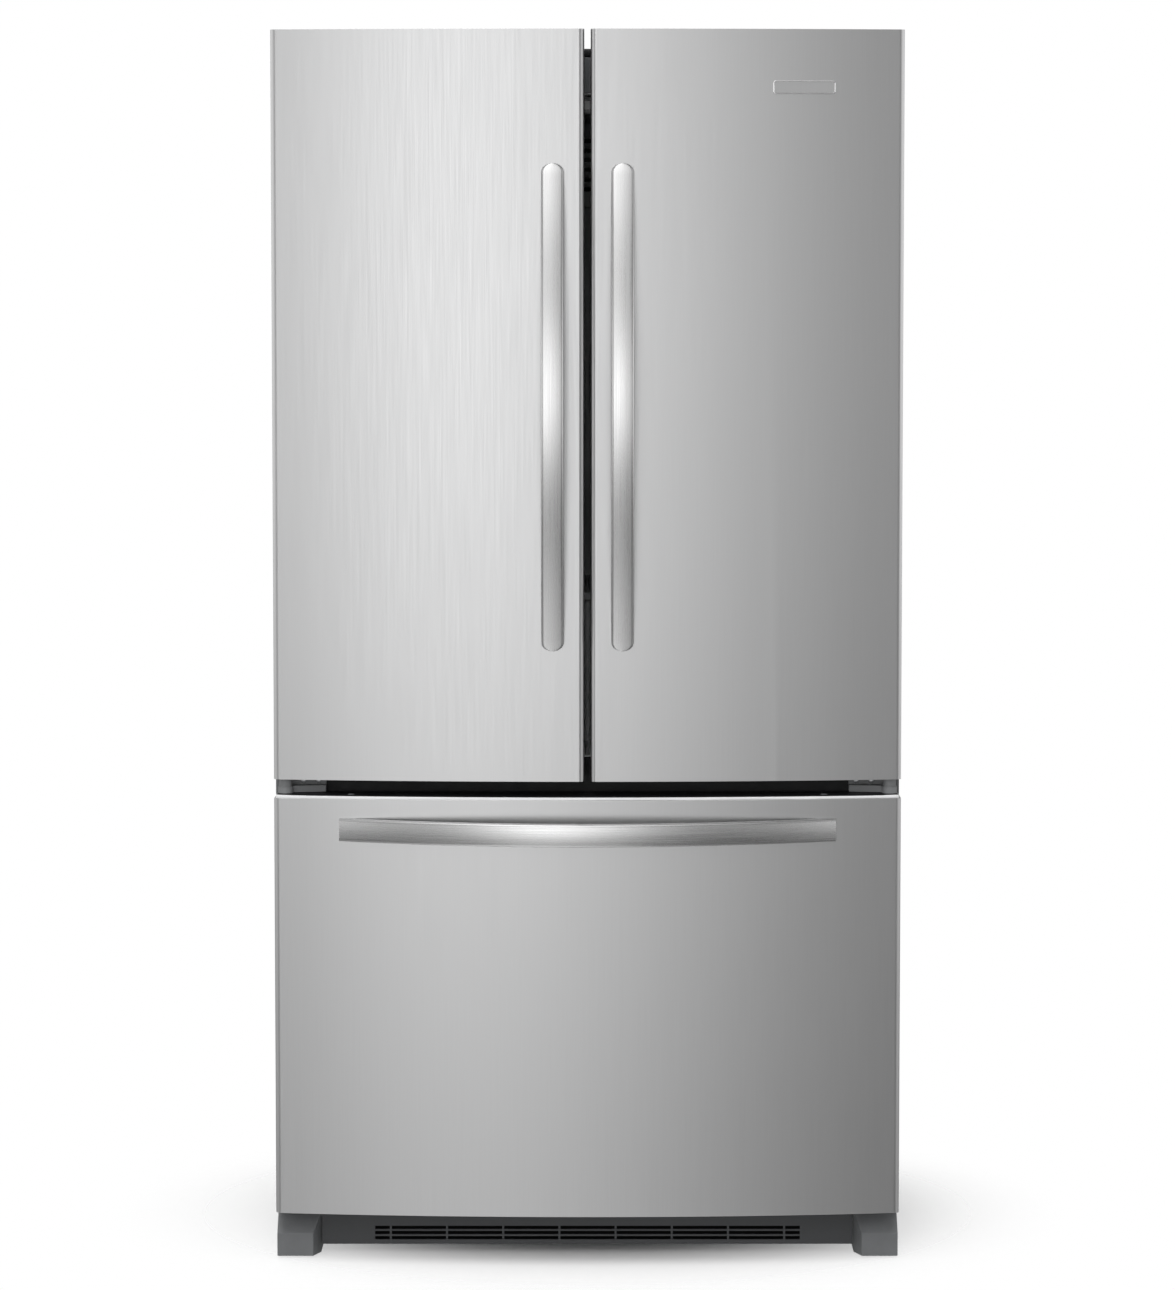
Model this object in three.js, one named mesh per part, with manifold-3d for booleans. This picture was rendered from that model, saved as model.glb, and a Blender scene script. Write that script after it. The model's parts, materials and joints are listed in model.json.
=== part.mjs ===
// French door refrigerator: two doors over a freezer drawer, millimetres, +X right, -Y front, +Z up.
// The origin is on the floor, under the middle of the whole object's box.
import * as THREE from "three";
import { mergeVertices } from "three/addons/utils/BufferGeometryUtils.js";
import Module from "manifold-3d";

const wasm = await Module();
wasm.setup();

// ---- Driving dimensions ----
const WIDTH = 905;
const HALF = WIDTH / 2;
const HEIGHT = 1781;
const DEPTH = 740;
const BACK = DEPTH / 2;
const FRONT = -DEPTH / 2; // the front of the handles
const HANDLE_REACH = 57; // from a door's face to the front of its handle
const CROWN = 28; // how far the fronts bow out between their outer side edges
const EDGE_Y = FRONT + HANDLE_REACH + CROWN; // a front's face at its outer side edge
const DOOR_BACK = -248;
const CABINET_FRONT = -240;
const CABINET_TOP = 1743;
const CABINET_BOTTOM = 67.5;
const DOOR_BOTTOM = 706;
const DOOR_GAP = 9; // between the two doors
const DRAWER_BOTTOM = 72;
const DRAWER_TOP = 679;
const DRAWER_CAP_TOP = 683;
const EDGE_RADIUS = 8; // the rounded vertical edges of the fronts
const SKIN = 2; // the fronts' sheet
const FIT = 0.3; // the gap between touching pieces
const SHEET = 2; // the cabinet's sheet and the liners' wall

const FRESH = { halfWidth: 400, bottom: 733, top: 1692, back: 300 }; // the outside of each liner
const FREEZER = { halfWidth: 390, bottom: 128, top: 657, back: 298 };
const MACHINE = { top: 328, front: 152 }; // the compartment for the compressor
const REAR_INSET = 3; // from the object's back to the cabinet's

// The doors' hinge axis.
const PIN = { x: 436.5, y: -268, radius: 6.5, length: 34, bore: 8.5, boreLength: 60 };
const DYKE = { outer: 385, inner: 46, back: -180, wall: 22, bottom: 750, top: 1675 };
const BIN = { depth: 115, wall: 3 };
const BINS = {
  lower: { z: 790, height: 120 },
  middle: { z: 1130, height: 95 },
  upper: { z: 1440, height: 95 },
};
const FLAP = { pivotX: -26, pivotY: -229.5, half: 10, reach: 62, bottom: 764, top: 1661 };
const KNUCKLE = { bottom: 751, top: 1674, gap: 0.5 }; // the flap's bearings on the left door

// ---- Finishes ----
const STEEL = { color: 0xc6c6c5, roughness: 0.34, metalness: 1.0 };
const BRIGHT = { color: 0xdadada, roughness: 0.22, metalness: 1.0 };
const DARK_PAINT = { color: 0x55575a, roughness: 0.55, metalness: 0.0 };
const CABINET_PAINT = { color: 0x77797c, roughness: 0.5, metalness: 0.0 };
const BLACK = { color: 0x17181a, roughness: 0.6, metalness: 0.0 };
const WHITE = { color: 0xf1f2f2, roughness: 0.4, metalness: 0.0 };
const ZINC = { color: 0xb4b6b8, roughness: 0.45, metalness: 1.0 };
const CLEAR = { color: 0xd8e4ea, roughness: 0.15, metalness: 0.0 };
const FOAM = { color: 0xe3d9a8, roughness: 0.9, metalness: 0.0 };
const RUBBER = { color: 0x5a5c5f, roughness: 0.8, metalness: 0.0 };

// ---- Solids ----
const MERGE = 1e-4; // vertices nearer than this are one

function toSolid(geometry) {
  const bare = geometry.index ? geometry.toNonIndexed() : geometry.clone();
  bare.deleteAttribute("normal");
  bare.deleteAttribute("uv");
  const merged = mergeVertices(bare, MERGE);
  const mesh = new wasm.Mesh({
    numProp: 3,
    vertProperties: merged.attributes.position.array,
    triVerts: new Uint32Array(merged.index.array),
  });
  return new wasm.Manifold(mesh);
}

function toGeometry(solid) {
  const { vertProperties, triVerts } = solid.getMesh();
  const indexed = new THREE.BufferGeometry();
  indexed.setAttribute("position", new THREE.BufferAttribute(vertProperties, 3));
  indexed.setIndex(new THREE.BufferAttribute(triVerts, 1));
  const geometry = indexed.toNonIndexed();
  geometry.computeVertexNormals();
  return geometry;
}

const join = (...solids) => solids.reduce((a, b) => a.add(b));
const cut = (solid, ...tools) => tools.reduce((a, b) => a.subtract(b), solid);
const sorted = (a, b) => [Math.min(a, b), Math.max(a, b)];

function box(x, y, z) {
  const [x0, x1] = sorted(...x);
  const [y0, y1] = sorted(...y);
  const [z0, z1] = sorted(...z);
  const geometry = new THREE.BoxGeometry(x1 - x0, y1 - y0, z1 - z0);
  geometry.translate((x0 + x1) / 2, (y0 + y1) / 2, (z0 + z1) / 2);
  return toSolid(geometry);
}

function extrude(points, depth) {
  const outline = points.map(([a, b]) => new THREE.Vector2(a, b));
  if (THREE.ShapeUtils.isClockWise(outline)) outline.reverse();
  return new THREE.ExtrudeGeometry(new THREE.Shape(outline), { depth, bevelEnabled: false });
}

// An outline of [x, y] points, extruded upwards.
function prismZ(points, z0, z1) {
  return toSolid(extrude(points, z1 - z0).translate(0, 0, z0));
}

// An outline of [y, z] points, extruded along X.
function prismX(points, x) {
  const [x0, x1] = sorted(...x);
  const turn = new THREE.Matrix4().makeBasis(
    new THREE.Vector3(0, 1, 0),
    new THREE.Vector3(0, 0, 1),
    new THREE.Vector3(1, 0, 0),
  );
  return toSolid(extrude(points, x1 - x0).applyMatrix4(turn).translate(x0, 0, 0));
}

// An outline of [x, z] points, extruded along Y.
function prismY(points, y) {
  const [y0, y1] = sorted(...y);
  return toSolid(extrude(points, y1 - y0).rotateX(Math.PI / 2).translate(0, y1, 0));
}

const TURN = { x: (g) => g.rotateZ(Math.PI / 2), y: (g) => g, z: (g) => g.rotateX(Math.PI / 2) };

function cylinder(axis, [x, y, z], radius, length, sides = 16) {
  const geometry = TURN[axis](new THREE.CylinderGeometry(radius, radius, length, sides));
  return toSolid(geometry.translate(x, y, z));
}

// A profile of [radius, height] points turned about Z.
function lathe(points, sides) {
  const profile = points.map(([r, h]) => new THREE.Vector2(r, h));
  return toSolid(new THREE.LatheGeometry(profile, sides).rotateX(Math.PI / 2));
}

// A tub with walls all round and a floor, open at the top.
function tub(x, y, z, wall) {
  const inside = ([a, b]) => [a + wall, b - wall];
  const hollow = box(inside(sorted(...x)), inside(sorted(...y)), [z[0] + wall, z[1] + 1]);
  return box(x, y, z).subtract(hollow);
}

function mesh(name, solid, finish) {
  const made = new THREE.Mesh(toGeometry(solid), new THREE.MeshStandardMaterial(finish));
  made.name = name;
  return made;
}

function body(...children) {
  const group = new THREE.Group();
  group.add(...children);
  return group;
}

// ---- The bowed fronts ----
const frontY = (x) => EDGE_Y - CROWN * (1 - (x / HALF) ** 2);

const FACE_STEP = 30;
const CORNER_STEPS = 8;

// The plan outline of a front between x0 and x1, set in by inset and reaching back to y.
function frontOutline(x0, x1, inset, backY) {
  const left = x0 + inset;
  const right = x1 - inset;
  const radius = EDGE_RADIUS - inset;
  const points = [[left, backY]];
  const round = (cx, from) => {
    const cy = frontY(cx) + inset + radius;
    for (let i = 0; i <= CORNER_STEPS; i++) {
      const angle = from + (i / CORNER_STEPS) * (Math.PI / 2);
      points.push([cx + radius * Math.cos(angle), cy + radius * Math.sin(angle)]);
    }
  };
  round(left + radius, Math.PI);
  const steps = Math.round((right - left) / FACE_STEP);
  for (let i = 1; i < steps; i++) {
    const x = left + radius + ((right - left - 2 * radius) * i) / steps;
    points.push([x, frontY(x) + inset]);
  }
  round(right - radius, 1.5 * Math.PI);
  points.push([right, backY]);
  return points;
}

// ---- Cabinet ----
function cabinetShell() {
  const outer = box([-HALF, HALF], [CABINET_FRONT, BACK - REAR_INSET], [CABINET_BOTTOM, CABINET_TOP]);
  const inner = box(
    [-HALF + SHEET, HALF - SHEET],
    [CABINET_FRONT + SHEET, BACK],
    [CABINET_BOTTOM - 1, CABINET_TOP - SHEET],
  );
  const opening = box(
    [-FRESH.halfWidth - FIT, FRESH.halfWidth + FIT],
    [CABINET_FRONT - 1, CABINET_FRONT + SHEET + 1],
    [FREEZER.bottom - FIT, FRESH.top + FIT],
  );
  return cut(outer, inner, opening);
}

const STEP = { bottom: MACHINE.top + SHEET + 3, front: MACHINE.front - SHEET - 2, overlap: 40 };
const LEDGE = { width: 14, front: -200, height: 7 }; // it carries the upper basket's rim

// The outside of the freezer liner, stepped over the machine compartment.
function freezerBlock(grow) {
  const x = [-FREEZER.halfWidth - grow, FREEZER.halfWidth + grow];
  const front = CABINET_FRONT + SHEET - (grow > 0 ? 1 : 0);
  const upper = box(x, [front, FREEZER.back + grow], [STEP.bottom - grow, FREEZER.top + grow]);
  const lower = box(x, [front, STEP.front + grow], [FREEZER.bottom - grow, MACHINE.top + STEP.overlap]);
  return upper.add(lower);
}

function freezerLiner() {
  const hollow = freezerBlock(-SHEET).add(
    box(
      [-FREEZER.halfWidth + SHEET, FREEZER.halfWidth - SHEET],
      [CABINET_FRONT - 1, CABINET_FRONT + 2 * SHEET + 1],
      [FREEZER.bottom + SHEET, FREEZER.top - SHEET],
    ),
  );
  const { back, top, wall } = UPPER_BASKET;
  const ledges = [-1, 1].map((side) =>
    box(
      [side * (FREEZER.halfWidth - 1), side * (FREEZER.halfWidth - LEDGE.width)],
      [LEDGE.front, back],
      [top - wall - LEDGE.height, top - wall - FIT],
    ),
  );
  return join(freezerBlock(0).subtract(hollow), ...ledges);
}

function freshLiner() {
  const outer = box(
    [-FRESH.halfWidth, FRESH.halfWidth],
    [CABINET_FRONT + SHEET, FRESH.back],
    [FRESH.bottom, FRESH.top],
  );
  const hollow = box(
    [-FRESH.halfWidth + SHEET, FRESH.halfWidth - SHEET],
    [CABINET_FRONT - 1, FRESH.back - SHEET],
    [FRESH.bottom + SHEET, FRESH.top - SHEET],
  );
  return outer.subtract(hollow);
}

const RAIL = { recess: 401.5, bottom: FREEZER.top + 2 * FIT, top: FRESH.bottom - 2 * FIT, depth: 15 };

function centerRail() {
  return box(
    [-FREEZER.halfWidth, FREEZER.halfWidth],
    [CABINET_FRONT, CABINET_FRONT + RAIL.depth],
    [RAIL.bottom, RAIL.top],
  );
}

function insulationFoam() {
  const side = HALF - SHEET - FIT;
  const block = box(
    [-side, side],
    [CABINET_FRONT + SHEET + FIT, BACK - REAR_INSET - FIT],
    [CABINET_BOTTOM + SHEET, CABINET_TOP - SHEET - FIT],
  );
  const fresh = box(
    [-FRESH.halfWidth - FIT, FRESH.halfWidth + FIT],
    [CABINET_FRONT, FRESH.back + FIT],
    [FRESH.bottom - FIT, FRESH.top + FIT],
  );
  const machine = box([-HALF, HALF], [MACHINE.front, BACK], [0, MACHINE.top + 2]);
  const rail = box(
    [-RAIL.recess, RAIL.recess],
    [CABINET_FRONT, CABINET_FRONT + RAIL.depth + FIT],
    [FREEZER.top - 1, FRESH.bottom + 1],
  );
  return cut(block, fresh, freezerBlock(FIT), machine, rail);
}

const REAR = {
  margin: 1,
  front: BACK - REAR_INSET + FIT,
  thick: 1.5,
  split: MACHINE.top + 7, // between the panel and the machine compartment's cover
  coverBottom: 75,
};

function rearPanel() {
  const x = [-HALF + REAR.margin, HALF - REAR.margin];
  return box(x, [REAR.front, REAR.front + REAR.thick], [REAR.split + 1, CABINET_TOP]);
}

// The vented cover over the machine compartment's back.
const VENT = { columns: 5, rows: 6, width: 120, height: 9, pitchX: 150, pitchZ: 26, bottom: 110 };
const CORD_INLET = { x: -405, z: 305, radius: 9 };

function machineCover() {
  const x = [-HALF + REAR.margin, HALF - REAR.margin];
  const plate = box(x, [REAR.front, BACK], [REAR.coverBottom, REAR.split - 1]);
  const slots = [];
  for (let c = 0; c < VENT.columns; c++) {
    const middle = (c - (VENT.columns - 1) / 2) * VENT.pitchX;
    const width = [middle - VENT.width / 2, middle + VENT.width / 2];
    for (let r = 0; r < VENT.rows; r++) {
      const z = VENT.bottom + r * VENT.pitchZ;
      slots.push(box(width, [REAR.front - 1, BACK + 1], [z, z + VENT.height]));
    }
  }
  const inlet = cylinder("y", [CORD_INLET.x, BACK, CORD_INLET.z], CORD_INLET.radius, 8, 24);
  return cut(plate, ...slots, inlet);
}

// ---- Base: pan, rollers, legs, grille and leg covers ----
const PAN = { bottom: 63.5, top: 67, front: -231.7, back: 364, halfWidth: 448 };
const ROLLER = { x: 385, y: 325, radius: 25, width: 22, chamfer: 2, bore: 5.6, axle: 5 };
const FORK = { gap: 1, thick: 3, rootHalf: 22, tipHalf: 10, belowAxle: 9 };
const LEG = { x: 426, y: -212, foot: 18, footHeight: 8, stem: 7, nut: 12, nutHeight: 8, nutGap: 2 };

function basePan() {
  const plate = box([-PAN.halfWidth, PAN.halfWidth], [PAN.front, PAN.back], [PAN.bottom, PAN.top]);
  const forks = [];
  for (const side of [-1, 1]) {
    for (const cheek of [-1, 1]) {
      const x = side * ROLLER.x + cheek * (ROLLER.width / 2 + FORK.gap + FORK.thick / 2);
      const outline = [
        [ROLLER.y - FORK.rootHalf, PAN.bottom + 1],
        [ROLLER.y - FORK.tipHalf, ROLLER.radius - FORK.belowAxle],
        [ROLLER.y + FORK.tipHalf, ROLLER.radius - FORK.belowAxle],
        [ROLLER.y + FORK.rootHalf, PAN.bottom + 1],
      ];
      forks.push(prismX(outline, [x - FORK.thick / 2, x + FORK.thick / 2]));
    }
    const axle = [side * ROLLER.x, ROLLER.y, ROLLER.radius];
    forks.push(cylinder("x", axle, ROLLER.axle, ROLLER.width + 2 * FORK.thick, 12));
  }
  return join(plate, ...forks);
}

function rearRoller() {
  const rim = ROLLER.radius;
  const w = ROLLER.width / 2;
  const profile = [
    [ROLLER.bore, -w],
    [rim - ROLLER.chamfer, -w],
    [rim, -w + ROLLER.chamfer],
    [rim, w - ROLLER.chamfer],
    [rim - ROLLER.chamfer, w],
    [ROLLER.bore, w],
    [ROLLER.bore, -w],
  ];
  return lathe(profile, 32);
}

function levelingLeg() {
  const foot = cylinder("z", [0, 0, LEG.footHeight / 2], LEG.foot, LEG.footHeight, 24);
  const length = PAN.bottom - FIT - LEG.footHeight + 1;
  const stem = cylinder("z", [0, 0, LEG.footHeight - 1 + length / 2], LEG.stem, length, 12);
  const nutZ = LEG.footHeight + LEG.nutGap + LEG.nutHeight / 2;
  const nut = cylinder("z", [0, 0, nutZ], LEG.nut, LEG.nutHeight, 6);
  return join(foot, stem, nut);
}

const GRILLE = {
  halfWidth: 388,
  bottom: 15,
  top: 66,
  y: -236,
  thick: 4,
  lipDepth: 12,
  lipHeight: 3,
  slotTop: 41.8,
  slotPitch: 7.6,
  slotHeight: 5,
  rows: 3,
  slotHalf: 311,
  ribs: 8,
  ribPitch: 82.3,
  rib: 3,
};

function baseGrille() {
  const y = [GRILLE.y, GRILLE.y + GRILLE.thick];
  const x = [-GRILLE.halfWidth, GRILLE.halfWidth];
  const plate = box(x, y, [GRILLE.bottom, GRILLE.top]);
  const lipTop = GRILLE.bottom + GRILLE.lipHeight;
  const lip = box(x, [GRILLE.y, GRILLE.y + GRILLE.lipDepth], [GRILLE.bottom, lipTop]);
  const ribs = [];
  for (let i = 0; i < GRILLE.ribs; i++) ribs.push((i - (GRILLE.ribs - 1) / 2) * GRILLE.ribPitch);
  const starts = [-GRILLE.slotHalf, ...ribs.map((rib) => rib + GRILLE.rib / 2)];
  const ends = [...ribs.map((rib) => rib - GRILLE.rib / 2), GRILLE.slotHalf];
  const through = [y[0] - 1, y[1] + 1];
  const slots = [];
  for (let row = 0; row < GRILLE.rows; row++) {
    const top = GRILLE.slotTop - row * GRILLE.slotPitch;
    starts.forEach((start, i) => slots.push(box([start, ends[i]], through, [top - GRILLE.slotHeight, top])));
  }
  return cut(plate.add(lip), ...slots);
}

const LEG_COVER = {
  front: -262,
  back: -190,
  inner: 400,
  innerBack: 389.5,
  bottom: 3,
  nose: 37,
  top: 63.2,
  wall: 2.5,
};

function legCover(side) {
  const { front, back, inner, innerBack, bottom, nose, top, wall } = LEG_COVER;
  const slopeBack = front + (top - nose);
  const plan = [
    [side * HALF, front],
    [side * inner, front],
    [side * innerBack, slopeBack],
    [side * innerBack, back],
    [side * HALF, back],
  ];
  const profile = [
    [front, bottom],
    [front, nose],
    [slopeBack, top],
    [back, top],
    [back, bottom],
  ];
  const room = [
    [front + wall, bottom - 1],
    [front + wall, nose - 1],
    [slopeBack + 2 * wall, top + 1],
    [back + 1, top + 1],
    [back + 1, bottom - 1],
  ];
  const outer = prismZ(plan, bottom, top).intersect(prismX(profile, [side * HALF, side * (innerBack - 1)]));
  return outer.subtract(prismX(room, [side * (HALF - wall), side * (inner + wall)]));
}

// ---- Hinges ----
const TOP_HINGE = {
  bottom: CABINET_TOP + FIT,
  top: CABINET_TOP + 5,
  armWidth: 16,
  armLength: 46,
  armAngle: Math.PI / 4,
  boss: 9,
  plateX: [366, 446],
  plateY: [CABINET_FRONT + 1, -150],
  screwX: [384, 432],
  screwY: [-222, -168],
};
const SCREW = { radius: 6, height: 3.5 }; // the hexagon heads on the top hinges

// The plate lies on the cabinet's top; its arm reaches out to the pin, inside the door's recess.
function topHinge(side) {
  const { bottom, top, armWidth, armLength, armAngle, boss, plateX, plateY, screwX, screwY } = TOP_HINGE;
  const height = top - bottom;
  const middle = (top + bottom) / 2;
  const disc = cylinder("z", [side * PIN.x, PIN.y, middle], boss, height, 24);
  const arm = new THREE.BoxGeometry(armLength, armWidth, height);
  arm.translate(armLength / 2, 0, 0);
  arm.rotateZ(side < 0 ? armAngle : Math.PI - armAngle);
  arm.translate(side * PIN.x, PIN.y, middle);
  const plate = box(plateX.map((x) => side * x), plateY, [bottom, top]);
  const pin = cylinder("z", [side * PIN.x, PIN.y, top - PIN.length / 2], PIN.radius, PIN.length, 16);
  const screws = [];
  for (const x of screwX) {
    for (const y of screwY) {
      const z = top + (SCREW.height - 0.5) / 2;
      screws.push(cylinder("z", [side * x, y, z], SCREW.radius, SCREW.height + 0.5, 6));
    }
  }
  return join(disc, toSolid(arm), plate, pin, ...screws);
}

const CENTER_HINGE = {
  bottom: 684.5,
  top: 694,
  flangeTop: 705,
  plate: 4,
  boss: 11,
  bushing: 9.5,
  inner: 379,
  outer: 447.5,
  frontInner: -256,
  frontOuter: -263,
  sheet: 3,
};

// The bracket between the doors and the drawer; the door stands on its bushing and turns on its pin.
function centerHinge(side) {
  const { bottom, top, flangeTop, plate, boss, bushing, inner, outer } = CENTER_HINGE;
  const { frontInner, frontOuter, sheet } = CENTER_HINGE;
  const back = CABINET_FRONT - FIT;
  const lipEnd = PIN.x - boss + 2;
  const slope = (frontOuter - frontInner) / (PIN.x - boss - inner);
  const lipY = frontInner + slope * (lipEnd - inner);
  const outline = [
    [inner, back],
    [inner, frontInner],
    [PIN.x - boss, frontOuter],
    [PIN.x - boss, PIN.y],
    [outer, PIN.y],
    [outer, back],
  ];
  const shelf = prismZ(outline.map(([x, y]) => [side * x, y]), top - plate, top);
  const lipOutline = [
    [inner, frontInner],
    [lipEnd, lipY],
    [lipEnd, lipY + sheet],
    [inner, frontInner + sheet],
  ];
  const lip = prismZ(lipOutline.map(([x, y]) => [side * x, y]), bottom, top);
  const flange = box([side * inner, side * outer], [back, back - sheet], [bottom, flangeTop]);
  const bossZ = (bottom + top) / 2;
  const bushingTop = DOOR_BOTTOM - FIT;
  return join(
    shelf,
    lip,
    flange,
    cylinder("z", [side * PIN.x, PIN.y, bossZ], boss, top - bottom, 24),
    cylinder("z", [side * PIN.x, PIN.y, (top + bushingTop - 1) / 2], bushing, bushingTop - top + 1, 20),
    cylinder("z", [side * PIN.x, PIN.y, top + PIN.length / 2], PIN.radius, PIN.length, 16),
  );
}

// ---- Doors ----
const RECESS = { inner: 392, front: -279.5, bottom: 1740 }; // at each door's top, around the hinge arm

const doorSpan = (side) => sorted(side * HALF, (side * DOOR_GAP) / 2);

function hingeRecess(side) {
  const x = [side * (HALF + 1), side * RECESS.inner];
  return box(x, [RECESS.front, DOOR_BACK + 1], [RECESS.bottom, HEIGHT + 1]);
}

function pinBores(side) {
  const at = (z) => cylinder("z", [side * PIN.x, PIN.y, z], PIN.bore, PIN.boreLength, 20);
  return at(RECESS.bottom).add(at(DOOR_BOTTOM + PIN.boreLength / 4));
}

function doorPanel(side) {
  const [x0, x1] = doorSpan(side);
  const outer = prismZ(frontOutline(x0, x1, 0, DOOR_BACK), DOOR_BOTTOM, HEIGHT);
  const hollow = prismZ(frontOutline(x0, x1, SKIN, DOOR_BACK + 1), DOOR_BOTTOM + SKIN, HEIGHT - SKIN);
  return cut(outer, hollow, hingeRecess(side), pinBores(side));
}

// The liner with its foam core: it fills the panel, and its raised dyke holds the bins.
function doorLiner(side) {
  const [x0, x1] = doorSpan(side);
  const inset = SKIN + FIT;
  const core = prismZ(frontOutline(x0, x1, inset, DOOR_BACK), DOOR_BOTTOM + inset, HEIGHT - inset);
  const y = [DOOR_BACK - 1, DYKE.back];
  const ridge = box([side * DYKE.outer, side * DYKE.inner], y, [DYKE.bottom, DYKE.top]);
  const pocket = box(
    [side * (DYKE.outer - DYKE.wall), side * (DYKE.inner + DYKE.wall)],
    [DOOR_BACK, DYKE.back + 1],
    [DYKE.bottom + DYKE.wall, DYKE.top - DYKE.wall],
  );
  const solid = core.add(ridge.subtract(pocket));
  return cut(solid, hingeRecess(side), pinBores(side));
}

// The two knuckles on the left door's liner that carry the flap between the doors.
function flapKnuckle(z0, z1) {
  const { pivotX, pivotY, half } = FLAP;
  const tab = box([-DYKE.inner - 1, pivotX], [pivotY - half, pivotY + half], [z0, z1]);
  return tab.add(cylinder("z", [pivotX, pivotY, (z0 + z1) / 2], half, z1 - z0, 16));
}

function leftDoorLiner() {
  return join(
    doorLiner(-1),
    flapKnuckle(KNUCKLE.bottom, FLAP.bottom - KNUCKLE.gap),
    flapKnuckle(FLAP.top + KNUCKLE.gap, KNUCKLE.top),
  );
}

const GASKET = { outer: 436.5, inner: 10, width: 20, bottom: 714, top: 1728 };

function frameRing(x, y, z, width) {
  const [x0, x1] = sorted(...x);
  const hole = box([x0 + width, x1 - width], [y[0] - 1, y[1] + 1], [z[0] + width, z[1] - width]);
  return box(x, y, z).subtract(hole);
}

function doorGasket(side) {
  return frameRing(
    [side * GASKET.outer, side * GASKET.inner],
    [DOOR_BACK + FIT, CABINET_FRONT - FIT],
    [GASKET.bottom, GASKET.top],
    GASKET.width,
  );
}

const DOOR_HANDLE = { x: 50, width: 32, bottom: 894.5, top: 1591, thick: 14, tipReach: 9, tipLength: 13 };
const HANDLE_STEPS = 20;

// A bowed bar seen from the side: its ends lie on the face, at y = 0, and its middle stands off it.
function bowOutline(from, to, face, reach, endReach, thick) {
  const outer = [];
  const inner = [];
  for (let i = 0; i <= HANDLE_STEPS; i++) {
    const t = (2 * i) / HANDLE_STEPS - 1;
    const along = from + ((to - from) * i) / HANDLE_STEPS;
    const out = endReach(along) + (reach - endReach(along)) * (1 - t * t);
    outer.push([along, face(along) - out]);
    inner.push([along, face(along) - Math.max(FIT, out - thick)]);
  }
  return [...outer, ...inner.reverse()];
}

// The handle's front view: straight sides with round tips.
function tipOutline(x, half, bottom, top, length) {
  const points = [];
  const steps = 8;
  for (const [z, from] of [[top - length, 0], [bottom + length, Math.PI]]) {
    for (let i = 0; i <= steps; i++) {
      const angle = from + (i / steps) * Math.PI;
      points.push([x + half * Math.cos(angle), z + length * Math.sin(angle)]);
    }
  }
  return points;
}

function doorHandle(side) {
  const { x, width, bottom, top, thick, tipReach, tipLength } = DOOR_HANDLE;
  const face = frontY(x - width / 2);
  const reach = face - FRONT;
  const bow = bowOutline(bottom, top, () => face, reach, () => tipReach, thick).map(([z, y]) => [y, z]);
  const bar = prismX(bow, [side * (x - width / 2), side * (x + width / 2)]);
  const tips = tipOutline(side * x, width / 2, bottom, top, tipLength);
  return bar.intersect(prismY(tips, [FRONT - 1, face + 1]));
}

const BADGE = { left: 264, right: 353, bottom: 1689, top: 1708, thick: 1.7 };

function badgePlate() {
  const points = [];
  const xs = [BADGE.left, (BADGE.left + BADGE.right) / 2, BADGE.right];
  xs.forEach((x) => points.push([x, frontY(x) - FIT - BADGE.thick]));
  xs.reverse().forEach((x) => points.push([x, frontY(x) - FIT]));
  return prismZ(points, BADGE.bottom, BADGE.top);
}

const binSpan = (side) => {
  const near = DYKE.inner + DYKE.wall + FIT;
  return sorted(side * near, side * (DYKE.outer - DYKE.wall - FIT));
};

// A door bin stands between the dyke's sides, open at the top.
function doorBin(side, level) {
  const { z, height } = BINS[level];
  const y = [DOOR_BACK + FIT, DOOR_BACK + FIT + BIN.depth];
  return tub(binSpan(side), y, [z, z + height], BIN.wall);
}

const DAIRY = { bottom: 1490, top: 1600, front: -150, hingeZ: 1595, hingeY: -145, ear: 5, barrel: 4, pin: 2 };
const LID = { thick: 3, clearance: 0.5, gripInset: 100, gripReach: 8, gripBottom: 4 };

function dairyBox() {
  const x = binSpan(1);
  const outer = box(x, [DOOR_BACK + FIT, DAIRY.front], [DAIRY.bottom, DAIRY.top]);
  const hollow = box(
    [x[0] + BIN.wall, x[1] - BIN.wall],
    [DOOR_BACK + FIT + BIN.wall, DAIRY.front + 1],
    [DAIRY.bottom + BIN.wall, DAIRY.top - BIN.wall],
  );
  const ears = [[x[0], x[0] + BIN.wall], [x[1] - BIN.wall, x[1]]].map((ear) =>
    cut(
      box(ear, [DAIRY.front - 1, DAIRY.hingeY + DAIRY.ear], [DAIRY.hingeZ - DAIRY.ear - 1, DAIRY.top]),
      cylinder("x", [(ear[0] + ear[1]) / 2, DAIRY.hingeY, DAIRY.hingeZ], DAIRY.pin + 0.6, 8, 12),
    ),
  );
  return join(outer.subtract(hollow), ...ears);
}

function dairyLid() {
  const [x0, x1] = binSpan(1);
  const inner = [x0 + BIN.wall + LID.clearance, x1 - BIN.wall - LID.clearance];
  const plate = box(inner, [DAIRY.hingeY - LID.thick, DAIRY.hingeY], [DAIRY.bottom + 2, DAIRY.hingeZ]);
  const gripZ = DAIRY.bottom + LID.gripBottom;
  const grip = box(
    [x0 + LID.gripInset, x1 - LID.gripInset],
    [DAIRY.hingeY - 1, DAIRY.hingeY + LID.gripReach],
    [gripZ, gripZ + LID.thick],
  );
  const middle = [(x0 + x1) / 2, DAIRY.hingeY, DAIRY.hingeZ];
  const barrel = cylinder("x", middle, DAIRY.barrel, inner[1] - inner[0], 16);
  const pin = cylinder("x", middle, DAIRY.pin, inner[1] - inner[0] + 4, 12);
  return join(plate, grip, barrel, pin);
}

// The flap that bridges the doors, folded back beside the left door's dyke.
function mullionFlap() {
  const { pivotX, pivotY, half, reach, bottom, top } = FLAP;
  const slab = box([pivotX - half, pivotX + half], [pivotY, pivotY + reach], [bottom, top]);
  return slab.add(cylinder("z", [pivotX, pivotY, (bottom + top) / 2], half, top - bottom, 24));
}

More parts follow.
